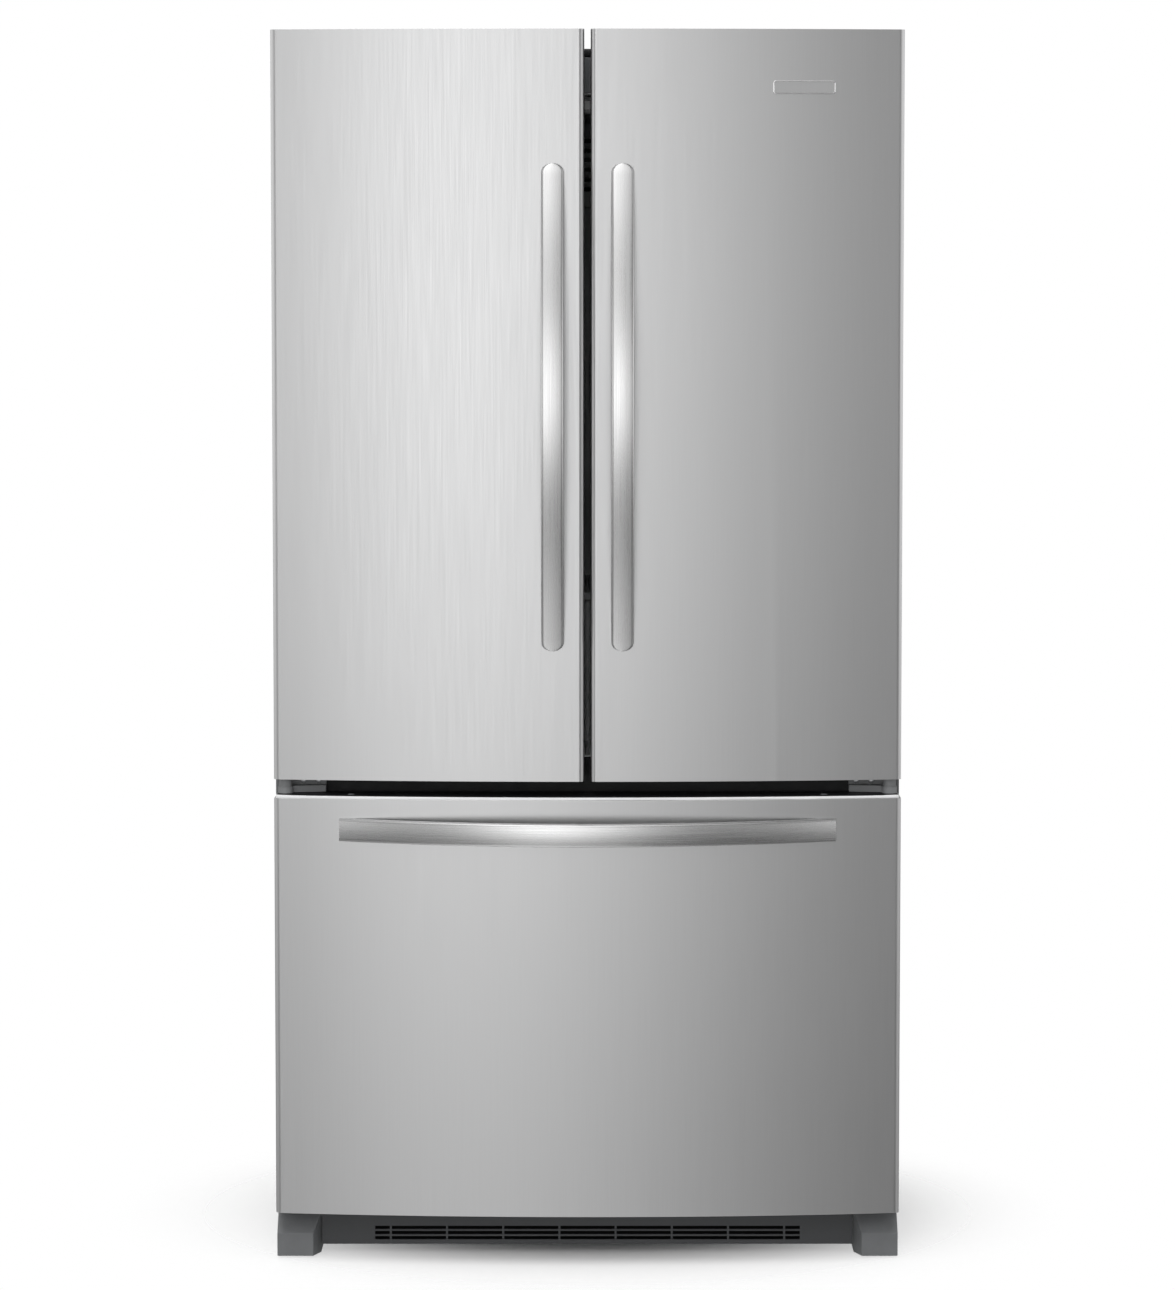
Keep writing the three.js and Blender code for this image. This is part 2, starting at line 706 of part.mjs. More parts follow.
// ---- Freezer drawer ----
const DRAWER_DYKE = { halfWidth: 372, wall: 22, bottom: 150, top: 640, back: -205 };
const DRAWER_GASKET = { bottom: 92, top: 674, width: 16 };
const SLIDE = {
  bottom: 395,
  top: 435,
  back: 140,
  front: -234,
  outer: 387.6,
  thick: 4,
  gap: 0.6,
  ledge: 352,
  ledgeThick: 3,
};
const slideX = (member) => {
  const outer = SLIDE.outer - member * (SLIDE.thick + SLIDE.gap);
  return [outer - SLIDE.thick, outer];
};

function drawerPanel() {
  const outer = prismZ(frontOutline(-HALF, HALF, 0, DOOR_BACK), DRAWER_BOTTOM, DRAWER_TOP);
  const hollow = prismZ(frontOutline(-HALF, HALF, SKIN, DOOR_BACK + 1), DRAWER_BOTTOM + SKIN, DRAWER_TOP + 1);
  return outer.subtract(hollow);
}

function drawerLiner() {
  const inset = SKIN + FIT;
  const core = prismZ(frontOutline(-HALF, HALF, inset, DOOR_BACK), DRAWER_BOTTOM + inset, DRAWER_CAP_TOP);
  const { halfWidth, wall, bottom, top, back } = DRAWER_DYKE;
  const ridge = frameRing([-halfWidth, halfWidth], [DOOR_BACK - 1, back], [bottom, top], wall);
  return core.add(ridge);
}

function drawerGasket() {
  const y = [DOOR_BACK + FIT, CABINET_FRONT - FIT];
  const { bottom, top, width } = DRAWER_GASKET;
  return frameRing([-GASKET.outer, GASKET.outer], y, [bottom, top], width);
}

const DRAWER_HANDLE = { half: 357.5, bottom: 618.5, top: 651, thick: 14, endReach: 9 };

function drawerHandle() {
  const { half, bottom, top, thick, endReach } = DRAWER_HANDLE;
  const outline = bowOutline(-half, half, frontY, HANDLE_REACH, () => endReach, thick);
  return prismZ(outline, bottom, top);
}

const slideBar = (side, member, y) => {
  const [a, b] = slideX(member);
  return box([side * a, side * b], y, [SLIDE.bottom, SLIDE.top]);
};

// The inner member is fixed to the drawer, with a ledge that carries the lower basket's rim.
function innerSlide(side) {
  const [a] = slideX(2);
  const bar = slideBar(side, 2, [DOOR_BACK + FIT, SLIDE.back - 5]);
  const ledge = box(
    [side * (a + 1), side * SLIDE.ledge],
    [BASKET.front, BASKET.back],
    [SLIDE.bottom, SLIDE.bottom + SLIDE.ledgeThick],
  );
  return bar.add(ledge);
}

const BASKET = {
  half: 348,
  front: -196,
  back: 132,
  bottom: 160,
  top: SLIDE.bottom + SLIDE.ledgeThick + FIT + 3,
  wall: 3,
  rim: 17,
};
const UPPER_BASKET = { half: 352, front: -190, back: 232, bottom: 455, top: 580, wall: 3, rim: 32 };

function basketWithRim({ half, front, back, bottom, top, wall, rim }) {
  const walls = tub([-half, half], [front, back], [bottom, top], wall);
  const rims = [-1, 1].map((side) =>
    box([side * (half - 1), side * (half + rim)], [front, back], [top - wall, top]),
  );
  return join(walls, ...rims);
}

// ---- Inside the compartments ----
const SHELF = {
  left: 5,
  right: 392,
  front: -60,
  back: FRESH.back - SHEET - FIT,
  thick: 12,
  lip: 6,
  lipDrop: 8,
  lipRise: 4,
  bracket: 60,
  bracketRoot: 25,
  bracketWidth: 6,
};

// A half-width shelf on two cantilever brackets, its glass bonded into its frame.
function shelf() {
  const width = SHELF.right - SHELF.left;
  const plate = box([0, width], [SHELF.front, SHELF.back], [0, SHELF.thick]);
  const outline = [
    [SHELF.back, 1],
    [SHELF.back, -SHELF.bracket],
    [SHELF.back - SHELF.bracketRoot, -SHELF.bracket],
    [SHELF.front + SHELF.bracket, 1],
  ];
  const lip = box(
    [0, width],
    [SHELF.front, SHELF.front + SHELF.lip],
    [-SHELF.lipDrop, SHELF.thick + SHELF.lipRise],
  );
  const near = prismX(outline, [0, SHELF.bracketWidth]);
  const far = prismX(outline, [width - SHELF.bracketWidth, width]);
  return join(plate, lip, near, far);
}

const CRISPER = {
  near: 8,
  far: 390,
  front: -52,
  back: 275,
  bottom: FRESH.bottom + SHEET + FIT,
  top: 938,
  wall: 3,
  pull: { inset: 60, reach: 6, drop: 40, height: 10 },
};
const CRISPER_COVER = {
  half: FRESH.halfWidth - SHEET - FIT,
  front: -58,
  back: FRESH.back - SHEET - FIT,
  bottom: 944,
  top: 956,
  post: 5,
};

function crisperCover() {
  const { half, front, back, bottom, top, post } = CRISPER_COVER;
  const plate = box([-half, half], [front, back], [bottom, top]);
  const foot = box([-post, post], [front + post, back - post], [FRESH.bottom + SHEET + FIT, bottom + 1]);
  return plate.add(foot);
}

function crisper(side) {
  const x = sorted(side * CRISPER.near, side * CRISPER.far);
  const { front, back, bottom, top, wall, pull } = CRISPER;
  const bar = box(
    [x[0] + pull.inset, x[1] - pull.inset],
    [front - pull.reach, front + 1],
    [top - pull.drop, top - pull.drop + pull.height],
  );
  return tub(x, [front, back], [bottom, top], wall).add(bar);
}

// ---- Cooling parts ----
const EVAPORATOR_COVER = {
  half: FREEZER.halfWidth - SHEET - FIT,
  front: 250,
  thick: 3,
  bottom: MACHINE.top + 2 * SHEET + 3 + FIT,
  top: FREEZER.top - SHEET - FIT,
  fanZ: 560,
  slot: 8,
  foot: 10,
};
// The evaporator fan's support.
const STRUT = { half: 9, front: 30, back: 45.5, below: 60, hanger: 8, stub: 4, stubLength: 12 };
const FAN = {
  hub: 14,
  blade: 42,
  width: 16,
  blades: 5,
  chord: 26,
  thick: 1.6,
  pitch: 0.45,
  bore: 5,
  boreDepth: 11,
};

function evaporatorCover() {
  const { half, front, thick, bottom, top, fanZ, slot, foot } = EVAPORATOR_COVER;
  const plate = box([-half, half], [front, front + thick], [bottom, top]);
  const slots = [];
  for (let i = -2; i <= 2; i++) {
    const z = fanZ + i * 2 * slot;
    const reach = Math.sqrt(FAN.blade ** 2 - (i * 2 * slot) ** 2);
    slots.push(box([-reach, reach], [front - 1, front + thick + 1], [z - slot / 2, z + slot / 2]));
  }
  const feet = [-1, 1].map((side) =>
    box([side * half, side * (half - foot)], [front + 1, FREEZER.back - SHEET - FIT], [bottom, top]),
  );
  const width = [-STRUT.half, STRUT.half];
  const strut = box(width, [front + STRUT.front, front + STRUT.back], [fanZ - STRUT.below, top]);
  const stub = cylinder("y", [0, front + STRUT.front - 2, fanZ], STRUT.stub, STRUT.stubLength, 12);
  const hanger = box(width, [front + 1, front + STRUT.back], [top - STRUT.hanger, top]);
  return join(cut(plate, ...slots), ...feet, strut, stub, hanger);
}

// A fan about Z with its hub's bottom at 0: pitched blades on a round hub with a bore for its shaft.
function fan(scale) {
  const r = FAN.hub * scale;
  const hub = cylinder("z", [0, 0, FAN.width / 2], r, FAN.width, 20);
  const blades = [];
  for (let i = 0; i < FAN.blades; i++) {
    const length = FAN.blade * scale - r + 3;
    const blade = new THREE.BoxGeometry(length, FAN.chord * scale, FAN.thick);
    blade.rotateX(FAN.pitch / scale);
    blade.translate(r - 3 + length / 2, 0, FAN.width / 2);
    blade.rotateZ((i * 2 * Math.PI) / FAN.blades);
    blades.push(toSolid(blade));
  }
  return join(hub, ...blades).subtract(cylinder("z", [0, 0, 0], FAN.bore, 2 * FAN.boreDepth, 12));
}

const CONDENSER_FAN = { x: -165, y: 261, z: 160, scale: 1.7, hubEnd: -148 };
const MOTOR = { radius: 30, length: 50, start: 7, shaft: 4, shaftLength: 20 };
// Under the motor: ranges are along its shaft.
const STAND = { post: [20, 44], postHalf: 20, foot: [5, 60], footHalf: 35 };
const COMPRESSOR = {
  x: 210,
  y: 262,
  radius: 72,
  height: 165,
  foot: 14,
  seam: 100,
  plate: [95, 62],
  mounts: [78, 48],
  mount: 11,
  mountHeight: 10.4,
  suction: { z: 80, radius: 5, length: 40 },
  terminals: { y: 20, z: 120, radius: 20, length: 30 },
};

function condenserFanMotor() {
  const { y, z, hubEnd } = CONDENSER_FAN;
  const along = (range) => range.map((value) => hubEnd + value);
  const motorX = hubEnd + MOTOR.start + MOTOR.length / 2;
  const motor = cylinder("x", [motorX, y, z], MOTOR.radius, MOTOR.length, 20);
  const shaft = cylinder("x", [hubEnd, y, z], MOTOR.shaft, MOTOR.shaftLength, 12);
  const post = box(along(STAND.post), [y - STAND.postHalf, y + STAND.postHalf], [PAN.top + FIT, z]);
  const footY = [y - STAND.footHalf, y + STAND.footHalf];
  const foot = box(along(STAND.foot), footY, [PAN.top + FIT, PAN.top + 4]);
  return join(motor, shaft, post, foot);
}

function compressor() {
  const { radius, height, foot, seam, plate, mounts, mount, mountHeight } = COMPRESSOR;
  const [plateX, plateY] = plate;
  const [mountX, mountY] = mounts;
  const profile = [
    [0, foot],
    [radius * 0.8, foot],
    [radius, foot + 20],
    [radius, seam - 4],
    [radius + 3, seam - 2],
    [radius + 3, seam + 2],
    [radius, seam + 4],
    [radius * 0.86, seam + 42],
    [radius * 0.45, height],
    [0, height],
  ];
  const shell = lathe(profile, 28);
  const base = box([-plateX, plateX], [-plateY, plateY], [foot - 4, foot + 1]);
  const feet = [];
  for (const x of [-mountX, mountX]) {
    for (const y of [-mountY, mountY]) {
      feet.push(cylinder("z", [x, y, mountHeight / 2], mount, mountHeight, 12));
    }
  }
  const { suction, terminals } = COMPRESSOR;
  const port = cylinder("x", [-radius - 6, 0, suction.z], suction.radius, suction.length, 10);
  const cap = cylinder("x", [radius, terminals.y, terminals.z], terminals.radius, terminals.length, 12);
  return join(shell, base, ...feet, port.add(cap));
}

// ---- Assembly ----
function placed(made, x, y, z) {
  made.position.set(x, y, z);
  return made;
}

const cabinet = body(
  mesh("cabinet_shell", cabinetShell(), CABINET_PAINT),
  mesh("insulation_foam", insulationFoam(), FOAM),
  mesh("fresh_food_liner", freshLiner(), WHITE),
  mesh("freezer_liner", freezerLiner(), WHITE),
  mesh("center_rail", centerRail(), BLACK),
  mesh("rear_panel", rearPanel(), ZINC),
  mesh("machine_cover", machineCover(), DARK_PAINT),
  mesh("base_pan", basePan(), ZINC),
  mesh("base_grille", baseGrille(), DARK_PAINT),
  mesh("crisper_cover", crisperCover(), CLEAR),
  mesh("evaporator_cover", evaporatorCover(), WHITE),
  mesh("condenser_fan_motor", condenserFanMotor(), BLACK),
  placed(mesh("compressor", compressor(), BLACK), COMPRESSOR.x, COMPRESSOR.y, PAN.top + FIT),
);

const SIDES = [["left", -1], ["right", 1]];
for (const [name, side] of SIDES) {
  cabinet.add(
    mesh(`${name}_leg_cover`, legCover(side), DARK_PAINT),
    placed(mesh(`${name}_leveling_leg`, levelingLeg(), ZINC), side * LEG.x, LEG.y, 0),
    mesh(`${name}_top_hinge`, topHinge(side), ZINC),
    mesh(`${name}_center_hinge`, centerHinge(side), DARK_PAINT),
    mesh(`${name}_slide_rail`, slideBar(side, 0, [SLIDE.front, SLIDE.back]), ZINC),
  );
}

const SHELF_HEIGHTS = { left: [1140, 1400], right: [1180, 1340] };
for (const [name, side] of SIDES) {
  SHELF_HEIGHTS[name].forEach((z, i) => {
    const x = side < 0 ? -SHELF.right : SHELF.left;
    cabinet.add(placed(mesh(`${name}_${["lower", "upper"][i]}_shelf`, shelf(), CLEAR), x, 0, z));
  });
}

const leftDoor = body(
  mesh("left_door_panel", doorPanel(-1), STEEL),
  mesh("left_door_liner", leftDoorLiner(), WHITE),
  mesh("left_door_gasket", doorGasket(-1), RUBBER),
  mesh("left_door_handle", doorHandle(-1), BRIGHT),
  ...["lower", "middle", "upper"].map((level) => mesh(`left_door_${level}_bin`, doorBin(-1, level), CLEAR)),
);

const rightDoor = body(
  mesh("right_door_panel", doorPanel(1), STEEL),
  mesh("right_door_liner", doorLiner(1), WHITE),
  mesh("right_door_gasket", doorGasket(1), RUBBER),
  mesh("right_door_handle", doorHandle(1), BRIGHT),
  mesh("badge_plate", badgePlate(), BRIGHT),
  ...["lower", "middle"].map((level) => mesh(`right_door_${level}_bin`, doorBin(1, level), CLEAR)),
  mesh("dairy_compartment", dairyBox(), CLEAR),
);

const freezerDrawer = body(
  mesh("drawer_panel", drawerPanel(), STEEL),
  mesh("drawer_liner", drawerLiner(), WHITE),
  mesh("drawer_gasket", drawerGasket(), RUBBER),
  mesh("drawer_handle", drawerHandle(), BRIGHT),
  mesh("lower_basket", basketWithRim(BASKET), WHITE),
  mesh("left_slide_inner", innerSlide(-1), ZINC),
  mesh("right_slide_inner", innerSlide(1), ZINC),
);

const slideMiddles = body(
  ...SIDES.map(([name, side]) =>
    mesh(`${name}_slide_middle`, slideBar(side, 1, [SLIDE.front, SLIDE.back]), ZINC),
  ),
);

const evaporatorFan = mesh("evaporator_fan", fan(1), WHITE);
evaporatorFan.rotation.x = Math.PI / 2;
placed(evaporatorFan, 0, EVAPORATOR_COVER.front + STRUT.front - 5, EVAPORATOR_COVER.fanZ);

const condenserFan = mesh("condenser_fan", fan(CONDENSER_FAN.scale), BLACK);
condenserFan.rotation.y = -Math.PI / 2;
placed(condenserFan, CONDENSER_FAN.x + FAN.width, CONDENSER_FAN.y, CONDENSER_FAN.z);

const rollers = SIDES.map(([name, side]) => {
  const roller = mesh(`${name}_rear_roller`, rearRoller(), BLACK);
  roller.rotation.y = Math.PI / 2;
  return placed(roller, side * ROLLER.x, ROLLER.y, ROLLER.radius);
});

export default body(
  cabinet,
  leftDoor,
  rightDoor,
  freezerDrawer,
  slideMiddles,
  mesh("mullion_flap", mullionFlap(), DARK_PAINT),
  mesh("dairy_lid", dairyLid(), CLEAR),
  mesh("upper_basket", basketWithRim(UPPER_BASKET), WHITE),
  mesh("left_crisper", crisper(-1), CLEAR),
  mesh("right_crisper", crisper(1), CLEAR),
  evaporatorFan,
  condenserFan,
  ...rollers,
);
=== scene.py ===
import json
import math

import bmesh
import bpy
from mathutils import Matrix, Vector


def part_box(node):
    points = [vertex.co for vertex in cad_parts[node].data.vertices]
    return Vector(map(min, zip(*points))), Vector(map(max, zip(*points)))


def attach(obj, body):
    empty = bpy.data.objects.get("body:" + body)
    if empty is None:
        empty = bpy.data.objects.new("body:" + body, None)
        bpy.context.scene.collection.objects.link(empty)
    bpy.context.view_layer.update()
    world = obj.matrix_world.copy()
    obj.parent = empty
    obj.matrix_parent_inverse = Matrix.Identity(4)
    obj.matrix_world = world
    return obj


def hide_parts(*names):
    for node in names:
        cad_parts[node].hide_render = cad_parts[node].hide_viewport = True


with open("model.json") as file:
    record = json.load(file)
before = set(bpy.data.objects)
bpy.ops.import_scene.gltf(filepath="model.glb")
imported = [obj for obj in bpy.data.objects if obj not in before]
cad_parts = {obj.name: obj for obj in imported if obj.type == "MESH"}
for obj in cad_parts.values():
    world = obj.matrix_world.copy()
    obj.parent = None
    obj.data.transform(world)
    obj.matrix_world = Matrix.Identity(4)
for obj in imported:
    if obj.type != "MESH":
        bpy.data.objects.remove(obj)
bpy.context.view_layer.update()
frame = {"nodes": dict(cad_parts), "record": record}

# Sizes are in millimetres unless they are said to be in metres: x to the right, y to the back, z up.
MM = 0.001
NODES = frame["nodes"]
BODY_OF = {n: b for b, ns in frame["record"]["behaviour"]["bodies"].items() for n in ns}
SIDES = (("left", -1), ("right", 1))
show = bpy.context.scene.collection.objects.link


# -------------------- Materials
NOISE_LOW, NOISE_HIGH = 0.3, 0.7


def set_sockets(node, **values):
    """Sets constants straight on a node's sockets, whose names have _ for a space here."""
    for key, value in values.items():
        node.inputs[key.replace("_", " ")].default_value = value


def new_material(name, slot, color, roughness, metallic=0.0, **sockets):
    """A Principled material. The slot argument is not used."""
    material = bpy.data.materials.new(name)
    material.use_nodes = True
    set_sockets(material.node_tree.nodes["Principled BSDF"], Base_Color=(*color, 1), Roughness=roughness,
                Metallic=metallic, **sockets)
    return material


def tree(owner):
    return owner.node_tree.nodes, owner.node_tree.links


def noise(material, scale, stretch=(1, 1, 1), detail=4.0, rough=0.55):
    """A noise texture in the object's own coordinates, stretched by an axis scale."""
    nodes, links = tree(material)
    place = nodes.new("ShaderNodeTexCoord")
    mapping = nodes.new("ShaderNodeMapping")
    set_sockets(mapping, Scale=stretch)
    texture = nodes.new("ShaderNodeTexNoise")
    set_sockets(texture, Scale=scale, Detail=detail, Roughness=rough)
    links.new(place.outputs["Object"], mapping.inputs["Vector"])
    links.new(mapping.outputs["Vector"], texture.inputs["Vector"])
    return texture.outputs["Fac"]


def vary_color(material, fac, color, contrast):
    nodes, links = tree(material)
    ramp = nodes.new("ShaderNodeValToRGB")
    stops = ((NOISE_LOW, 1 - contrast), (NOISE_HIGH, 1 + contrast))
    for element, (position, factor) in zip(ramp.color_ramp.elements, stops):
        element.position = position
        element.color = (*(min(1.0, c * factor) for c in color), 1)
    links.new(fac, ramp.inputs["Fac"])
    links.new(ramp.outputs["Color"], nodes["Principled BSDF"].inputs["Base Color"])


def vary_roughness(material, fac, low, high):
    nodes, links = tree(material)
    spread = nodes.new("ShaderNodeMapRange")
    set_sockets(spread, From_Min=NOISE_LOW, From_Max=NOISE_HIGH, To_Min=low, To_Max=high)
    links.new(fac, spread.inputs["Value"])
    links.new(spread.outputs["Result"], nodes["Principled BSDF"].inputs["Roughness"])


def add_bump(material, fac, strength, distance):
    nodes, links = tree(material)
    bump = nodes.new("ShaderNodeBump")
    set_sockets(bump, Strength=strength, Distance=distance)
    links.new(fac, bump.inputs["Height"])
    links.new(bump.outputs["Normal"], nodes["Principled BSDF"].inputs["Normal"])


GRAIN_SCALE, GRAIN_DETAIL, GRAIN_ROUGHNESS, GRAIN_DEPTH = 900, 6.0, 0.6, 0.0004
MOULD_DETAIL, MOULD_DEPTH = 2.0, 0.0006


def brushed(name, slot, color, rough, grain, contrast, bump=0.05):
    """Metal brushed along one axis: grain is the stretch, small along the brushing."""
    material = new_material(name, slot, color, rough[0], 1.0)
    lines = noise(material, GRAIN_SCALE, grain, GRAIN_DETAIL, GRAIN_ROUGHNESS)
    vary_color(material, lines, color, contrast)
    vary_roughness(material, lines, *rough)
    add_bump(material, lines, bump, GRAIN_DEPTH)
    return material


def plain(name, slot, color, rough, contrast, scale, bump=None, **sockets):
    """Plastic, rubber or paint: a soft mottle in colour and roughness, and a fine bump (strength, scale)."""
    material = new_material(name, slot, color, rough[0], **sockets)
    mottle = noise(material, scale)
    vary_color(material, mottle, color, contrast)
    vary_roughness(material, mottle, *rough)
    if bump:
        strength, bump_scale = bump
        add_bump(material, noise(material, bump_scale, detail=MOULD_DETAIL), strength, MOULD_DEPTH)
    return material


ALONG_Z, ALONG_X = (1, 1, 0.008), (0.008, 1, 1)
BOWED_Z, BOWED_X = (1, 0.02, 0.008), (0.008, 0.02, 1)
BAR_COLOR, BAR_ROUGH = (0.68, 0.68, 0.68), (0.24, 0.32)
STEEL = brushed("steel_brushed", "polished_steel", (0.597, 0.598, 0.60), (0.28, 0.34), ALONG_Z, 0.016, 0.018)
HANDLE_STEEL = brushed("handle_steel", "polished_steel", BAR_COLOR, BAR_ROUGH, BOWED_Z, 0.04)
HANDLE_STEEL_ACROSS = brushed("handle_steel_across", "polished_steel", BAR_COLOR, BAR_ROUGH, BOWED_X, 0.04)
BADGE_METAL = brushed("badge_metal", "polished_steel", (0.82, 0.82, 0.82), (0.14, 0.2), (0.3, 1, 0.3), 0.03)
CHROME = brushed("chrome_trim", "polished_steel", (0.85, 0.85, 0.86), (0.06, 0.12), ALONG_X, 0.02)
ZINC = brushed("zinc_plate", "zinc_steel", (0.56, 0.57, 0.58), (0.35, 0.5), (0.4, 0.4, 0.4), 0.08)
COPPER = brushed("copper_tube", "zinc_steel", (0.72, 0.36, 0.2), (0.25, 0.4), (0.2, 0.2, 0.2), 0.1)
CABINET = plain("cabinet_paint", None, (0.16, 0.165, 0.172), (0.38, 0.5), 0.05, 40, (0.35, 450))
# Dark grey paint; the slot and vent patches use it too, as painted shade in their openings.
DARK = plain("dark_paint", "dark_paint", (0.155, 0.16, 0.165), (0.42, 0.55), 0.06, 50, (0.25, 600))
GRILLE = plain("grille_plastic", "black_steel", (0.05, 0.052, 0.055), (0.45, 0.6), 0.08, 50, (0.25, 600))
BLACK = plain("black_plastic", "black_plastic", (0.012, 0.012, 0.013), (0.45, 0.6), 0.1, 70, (0.2, 700),
              Specular_IOR_Level=0.3)
# Near-black for the board behind the grille's slots: painted shade of the dark compartment behind them.
GRILLE_SHADE = plain("black_felt", "black_plastic", (0.006, 0.006, 0.006), (0.85, 0.95), 0.2, 500, (0.4, 1500),
             Specular_IOR_Level=0.1)
BRACKET = plain("bracket_paint", None, (0.21, 0.215, 0.22), (0.4, 0.5), 0.05, 50, (0.2, 600))
BLACK_ENAMEL = plain("black_enamel", "black_steel", (0.014, 0.014, 0.015), (0.2, 0.35), 0.1, 30, (0.1, 300))
LINER = plain("white_liner", "white_liner", (0.88, 0.885, 0.89), (0.28, 0.33), 0.008, 90, (0.12, 260))
FOAM = plain("insulation_foam", None, (0.8, 0.79, 0.75), (0.7, 0.85), 0.06, 120, (0.5, 500))
WIRE_COAT = plain("basket_wire_coat", "white_liner", (0.86, 0.87, 0.88), (0.25, 0.35), 0.02, 60)
RUBBER = plain("gasket_rubber", "gasket_rubber", (0.10, 0.10, 0.105), (0.55, 0.7), 0.08, 120, (0.15, 900))
TYRE = plain("roller_rubber", "roller_rubber", (0.025, 0.025, 0.026), (0.6, 0.75), 0.1, 120, (0.2, 900))
CLEAR = plain("clear_plastic", "clear_plastic", (0.965, 0.985, 0.99), (0.05, 0.1), 0.01, 20,
              Transmission_Weight=0.95, IOR=1.49, Specular_IOR_Level=0.5)
FROSTED = plain("frosted_plastic", "clear_plastic", (0.92, 0.95, 0.965), (0.35, 0.45), 0.015, 30, (0.15, 700),
                Transmission_Weight=0.75, IOR=1.49)
GLASS = plain("shelf_glass", "shelf_glass", (0.93, 0.975, 0.96), (0.02, 0.05), 0.01, 20,
              Transmission_Weight=0.95, IOR=1.5)
LAMP = plain("lamp_lens", "clear_plastic", (0.93, 0.93, 0.90), (0.3, 0.4), 0.01, 60, (0.3, 500),
             Transmission_Weight=0.4, IOR=1.49)
SCREEN = plain("control_glass", "black_plastic", (0.03, 0.035, 0.04), (0.08, 0.14), 0.05, 30)
MARK = plain("pale_print", "white_liner", (0.75, 0.78, 0.8), (0.4, 0.5), 0.02, 60)


# -------------------- Finishing of meshes
SMOOTH_BELOW, SHARP_ABOVE = math.radians(38), math.radians(40)
FLAT_WITHIN = math.radians(0.15)
WELD_DISTANCE = 0.01
SAME_PLACE = 1e-6
FLAT_WEIGHT = 80


def smoothing_group():
    """Shades smooth across every edge that is flat enough."""
    group = bpy.data.node_groups.new("smooth_by_angle", "GeometryNodeTree")
    group.interface.new_socket("Geometry", in_out="INPUT", socket_type="NodeSocketGeometry")
    group.interface.new_socket("Geometry", in_out="OUTPUT", socket_type="NodeSocketGeometry")
    nodes, links = group.nodes, group.links
    start, end = nodes.new("NodeGroupInput"), nodes.new("NodeGroupOutput")
    faces = nodes.new("GeometryNodeSetShadeSmooth")
    angle = nodes.new("GeometryNodeInputMeshEdgeAngle")
    steep = nodes.new("FunctionNodeCompare")
    steep.operation = "GREATER_THAN"
    steep.inputs[1].default_value = SMOOTH_BELOW
    sharp = nodes.new("GeometryNodeSetShadeSmooth")
    sharp.domain = "EDGE"
    sharp.inputs["Shade Smooth"].default_value = False
    links.new(start.outputs[0], faces.inputs["Geometry"])
    links.new(angle.outputs["Unsigned Angle"], steep.inputs[0])
    links.new(faces.outputs["Geometry"], sharp.inputs["Geometry"])
    links.new(steep.outputs["Result"], sharp.inputs["Selection"])
    links.new(sharp.outputs["Geometry"], end.inputs[0])
    return group


SMOOTHING = smoothing_group()


def soften(obj):
    """Smooth shading by angle, with large flat faces kept flat next to their rounded edges."""
    obj.modifiers.new("smooth_by_angle", "NODES").node_group = SMOOTHING
    flat = obj.modifiers.new("flat_normals", "WEIGHTED_NORMAL")
    flat.keep_sharp = True
    flat.weight = FLAT_WEIGHT


def round_edges(obj, width, segments):
    edge = obj.modifiers.new("rounded_edges", "BEVEL")
    edge.width = width * MM
    edge.segments = segments
    edge.limit_method = "ANGLE"
    edge.angle_limit = SHARP_ABOVE
    edge.use_clamp_overlap = True


def dress(node, material, bevel, segments):
    """Keeps a CAD node's shape: rounds its sharp edges by bevel millimetres and gives it its material."""
    obj = NODES[node]
    mesh = obj.data
    if "custom_normal" in mesh.attributes:
        mesh.attributes.remove(mesh.attributes["custom_normal"])
    obj.modifiers.new("weld", "WELD").merge_threshold = WELD_DISTANCE * MM
    flat = obj.modifiers.new("flat_faces", "DECIMATE")
    flat.decimate_type = "DISSOLVE"
    flat.angle_limit = FLAT_WITHIN
    if bevel:
        round_edges(obj, bevel, segments)
    soften(obj)
    mesh.materials.clear()
    mesh.materials.append(material)


def add(name, material, *shapes, body="cabinet", replaces=(), slot=None, edges=None):
    """One piece from (vertices, faces) shapes, with its material, that rides on a body. The slot argument is
    not used.
    """
    vertices, faces = [], []
    for shape_vertices, shape_faces in shapes:
        shift = len(vertices)
        vertices += shape_vertices
        faces += [tuple(i + shift for i in face) for face in shape_faces]
    mesh = bpy.data.meshes.new(name)
    mesh.from_pydata([Vector(v) for v in vertices], [], faces)
    bm = bmesh.new()
    bm.from_mesh(mesh)
    bmesh.ops.remove_doubles(bm, verts=bm.verts, dist=SAME_PLACE)
    bmesh.ops.recalc_face_normals(bm, faces=bm.faces)
    bm.to_mesh(mesh)
    bm.free()
    obj = bpy.data.objects.new(name, mesh)
    if edges:
        round_edges(obj, *edges)
    show(obj)
    mesh.materials.append(material)
    soften(obj)
    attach(obj, body)
    if replaces:
        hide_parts(*replaces)


# -------------------- Shapes, each as (vertices, faces) in metres
QUARTER, TURN = math.pi / 2, 2 * math.pi


def metres(*values):
    return tuple(v * MM for v in values)


def around(middle, half):
    return middle - half, middle + half


def middle_half(span):
    return sum(span) / 2, (span[1] - span[0]) / 2


def loft(rings, closed=False):
    """A skin through rings of equal length; open lofts get end caps."""
    count = len(rings[0])
    vertices = [p for ring in rings for p in ring]
    faces = []
    for r in range(len(rings) if closed else len(rings) - 1):
        a, b = r * count, ((r + 1) % len(rings)) * count
        for i in range(count):
            j = (i + 1) % count
            faces.append((a + i, a + j, b + j, b + i))
    if not closed:
        faces.append(tuple(range(count)))
        faces.append(tuple(range(len(vertices) - count, len(vertices))))
    return vertices, faces


def rounded_rect(cx, cy, half_x, half_y, radius, steps=4):
    """The outline of a rectangle with round corners, as (x, y) pairs."""
    points = []
    for k, (sx, sy) in enumerate(((1, 1), (-1, 1), (-1, -1), (1, -1))):
        for i in range(steps + 1):
            angle = QUARTER * (k + i / steps)
            points.append((cx + sx * (half_x - radius) + radius * math.cos(angle),
                           cy + sy * (half_y - radius) + radius * math.sin(angle)))
    return points


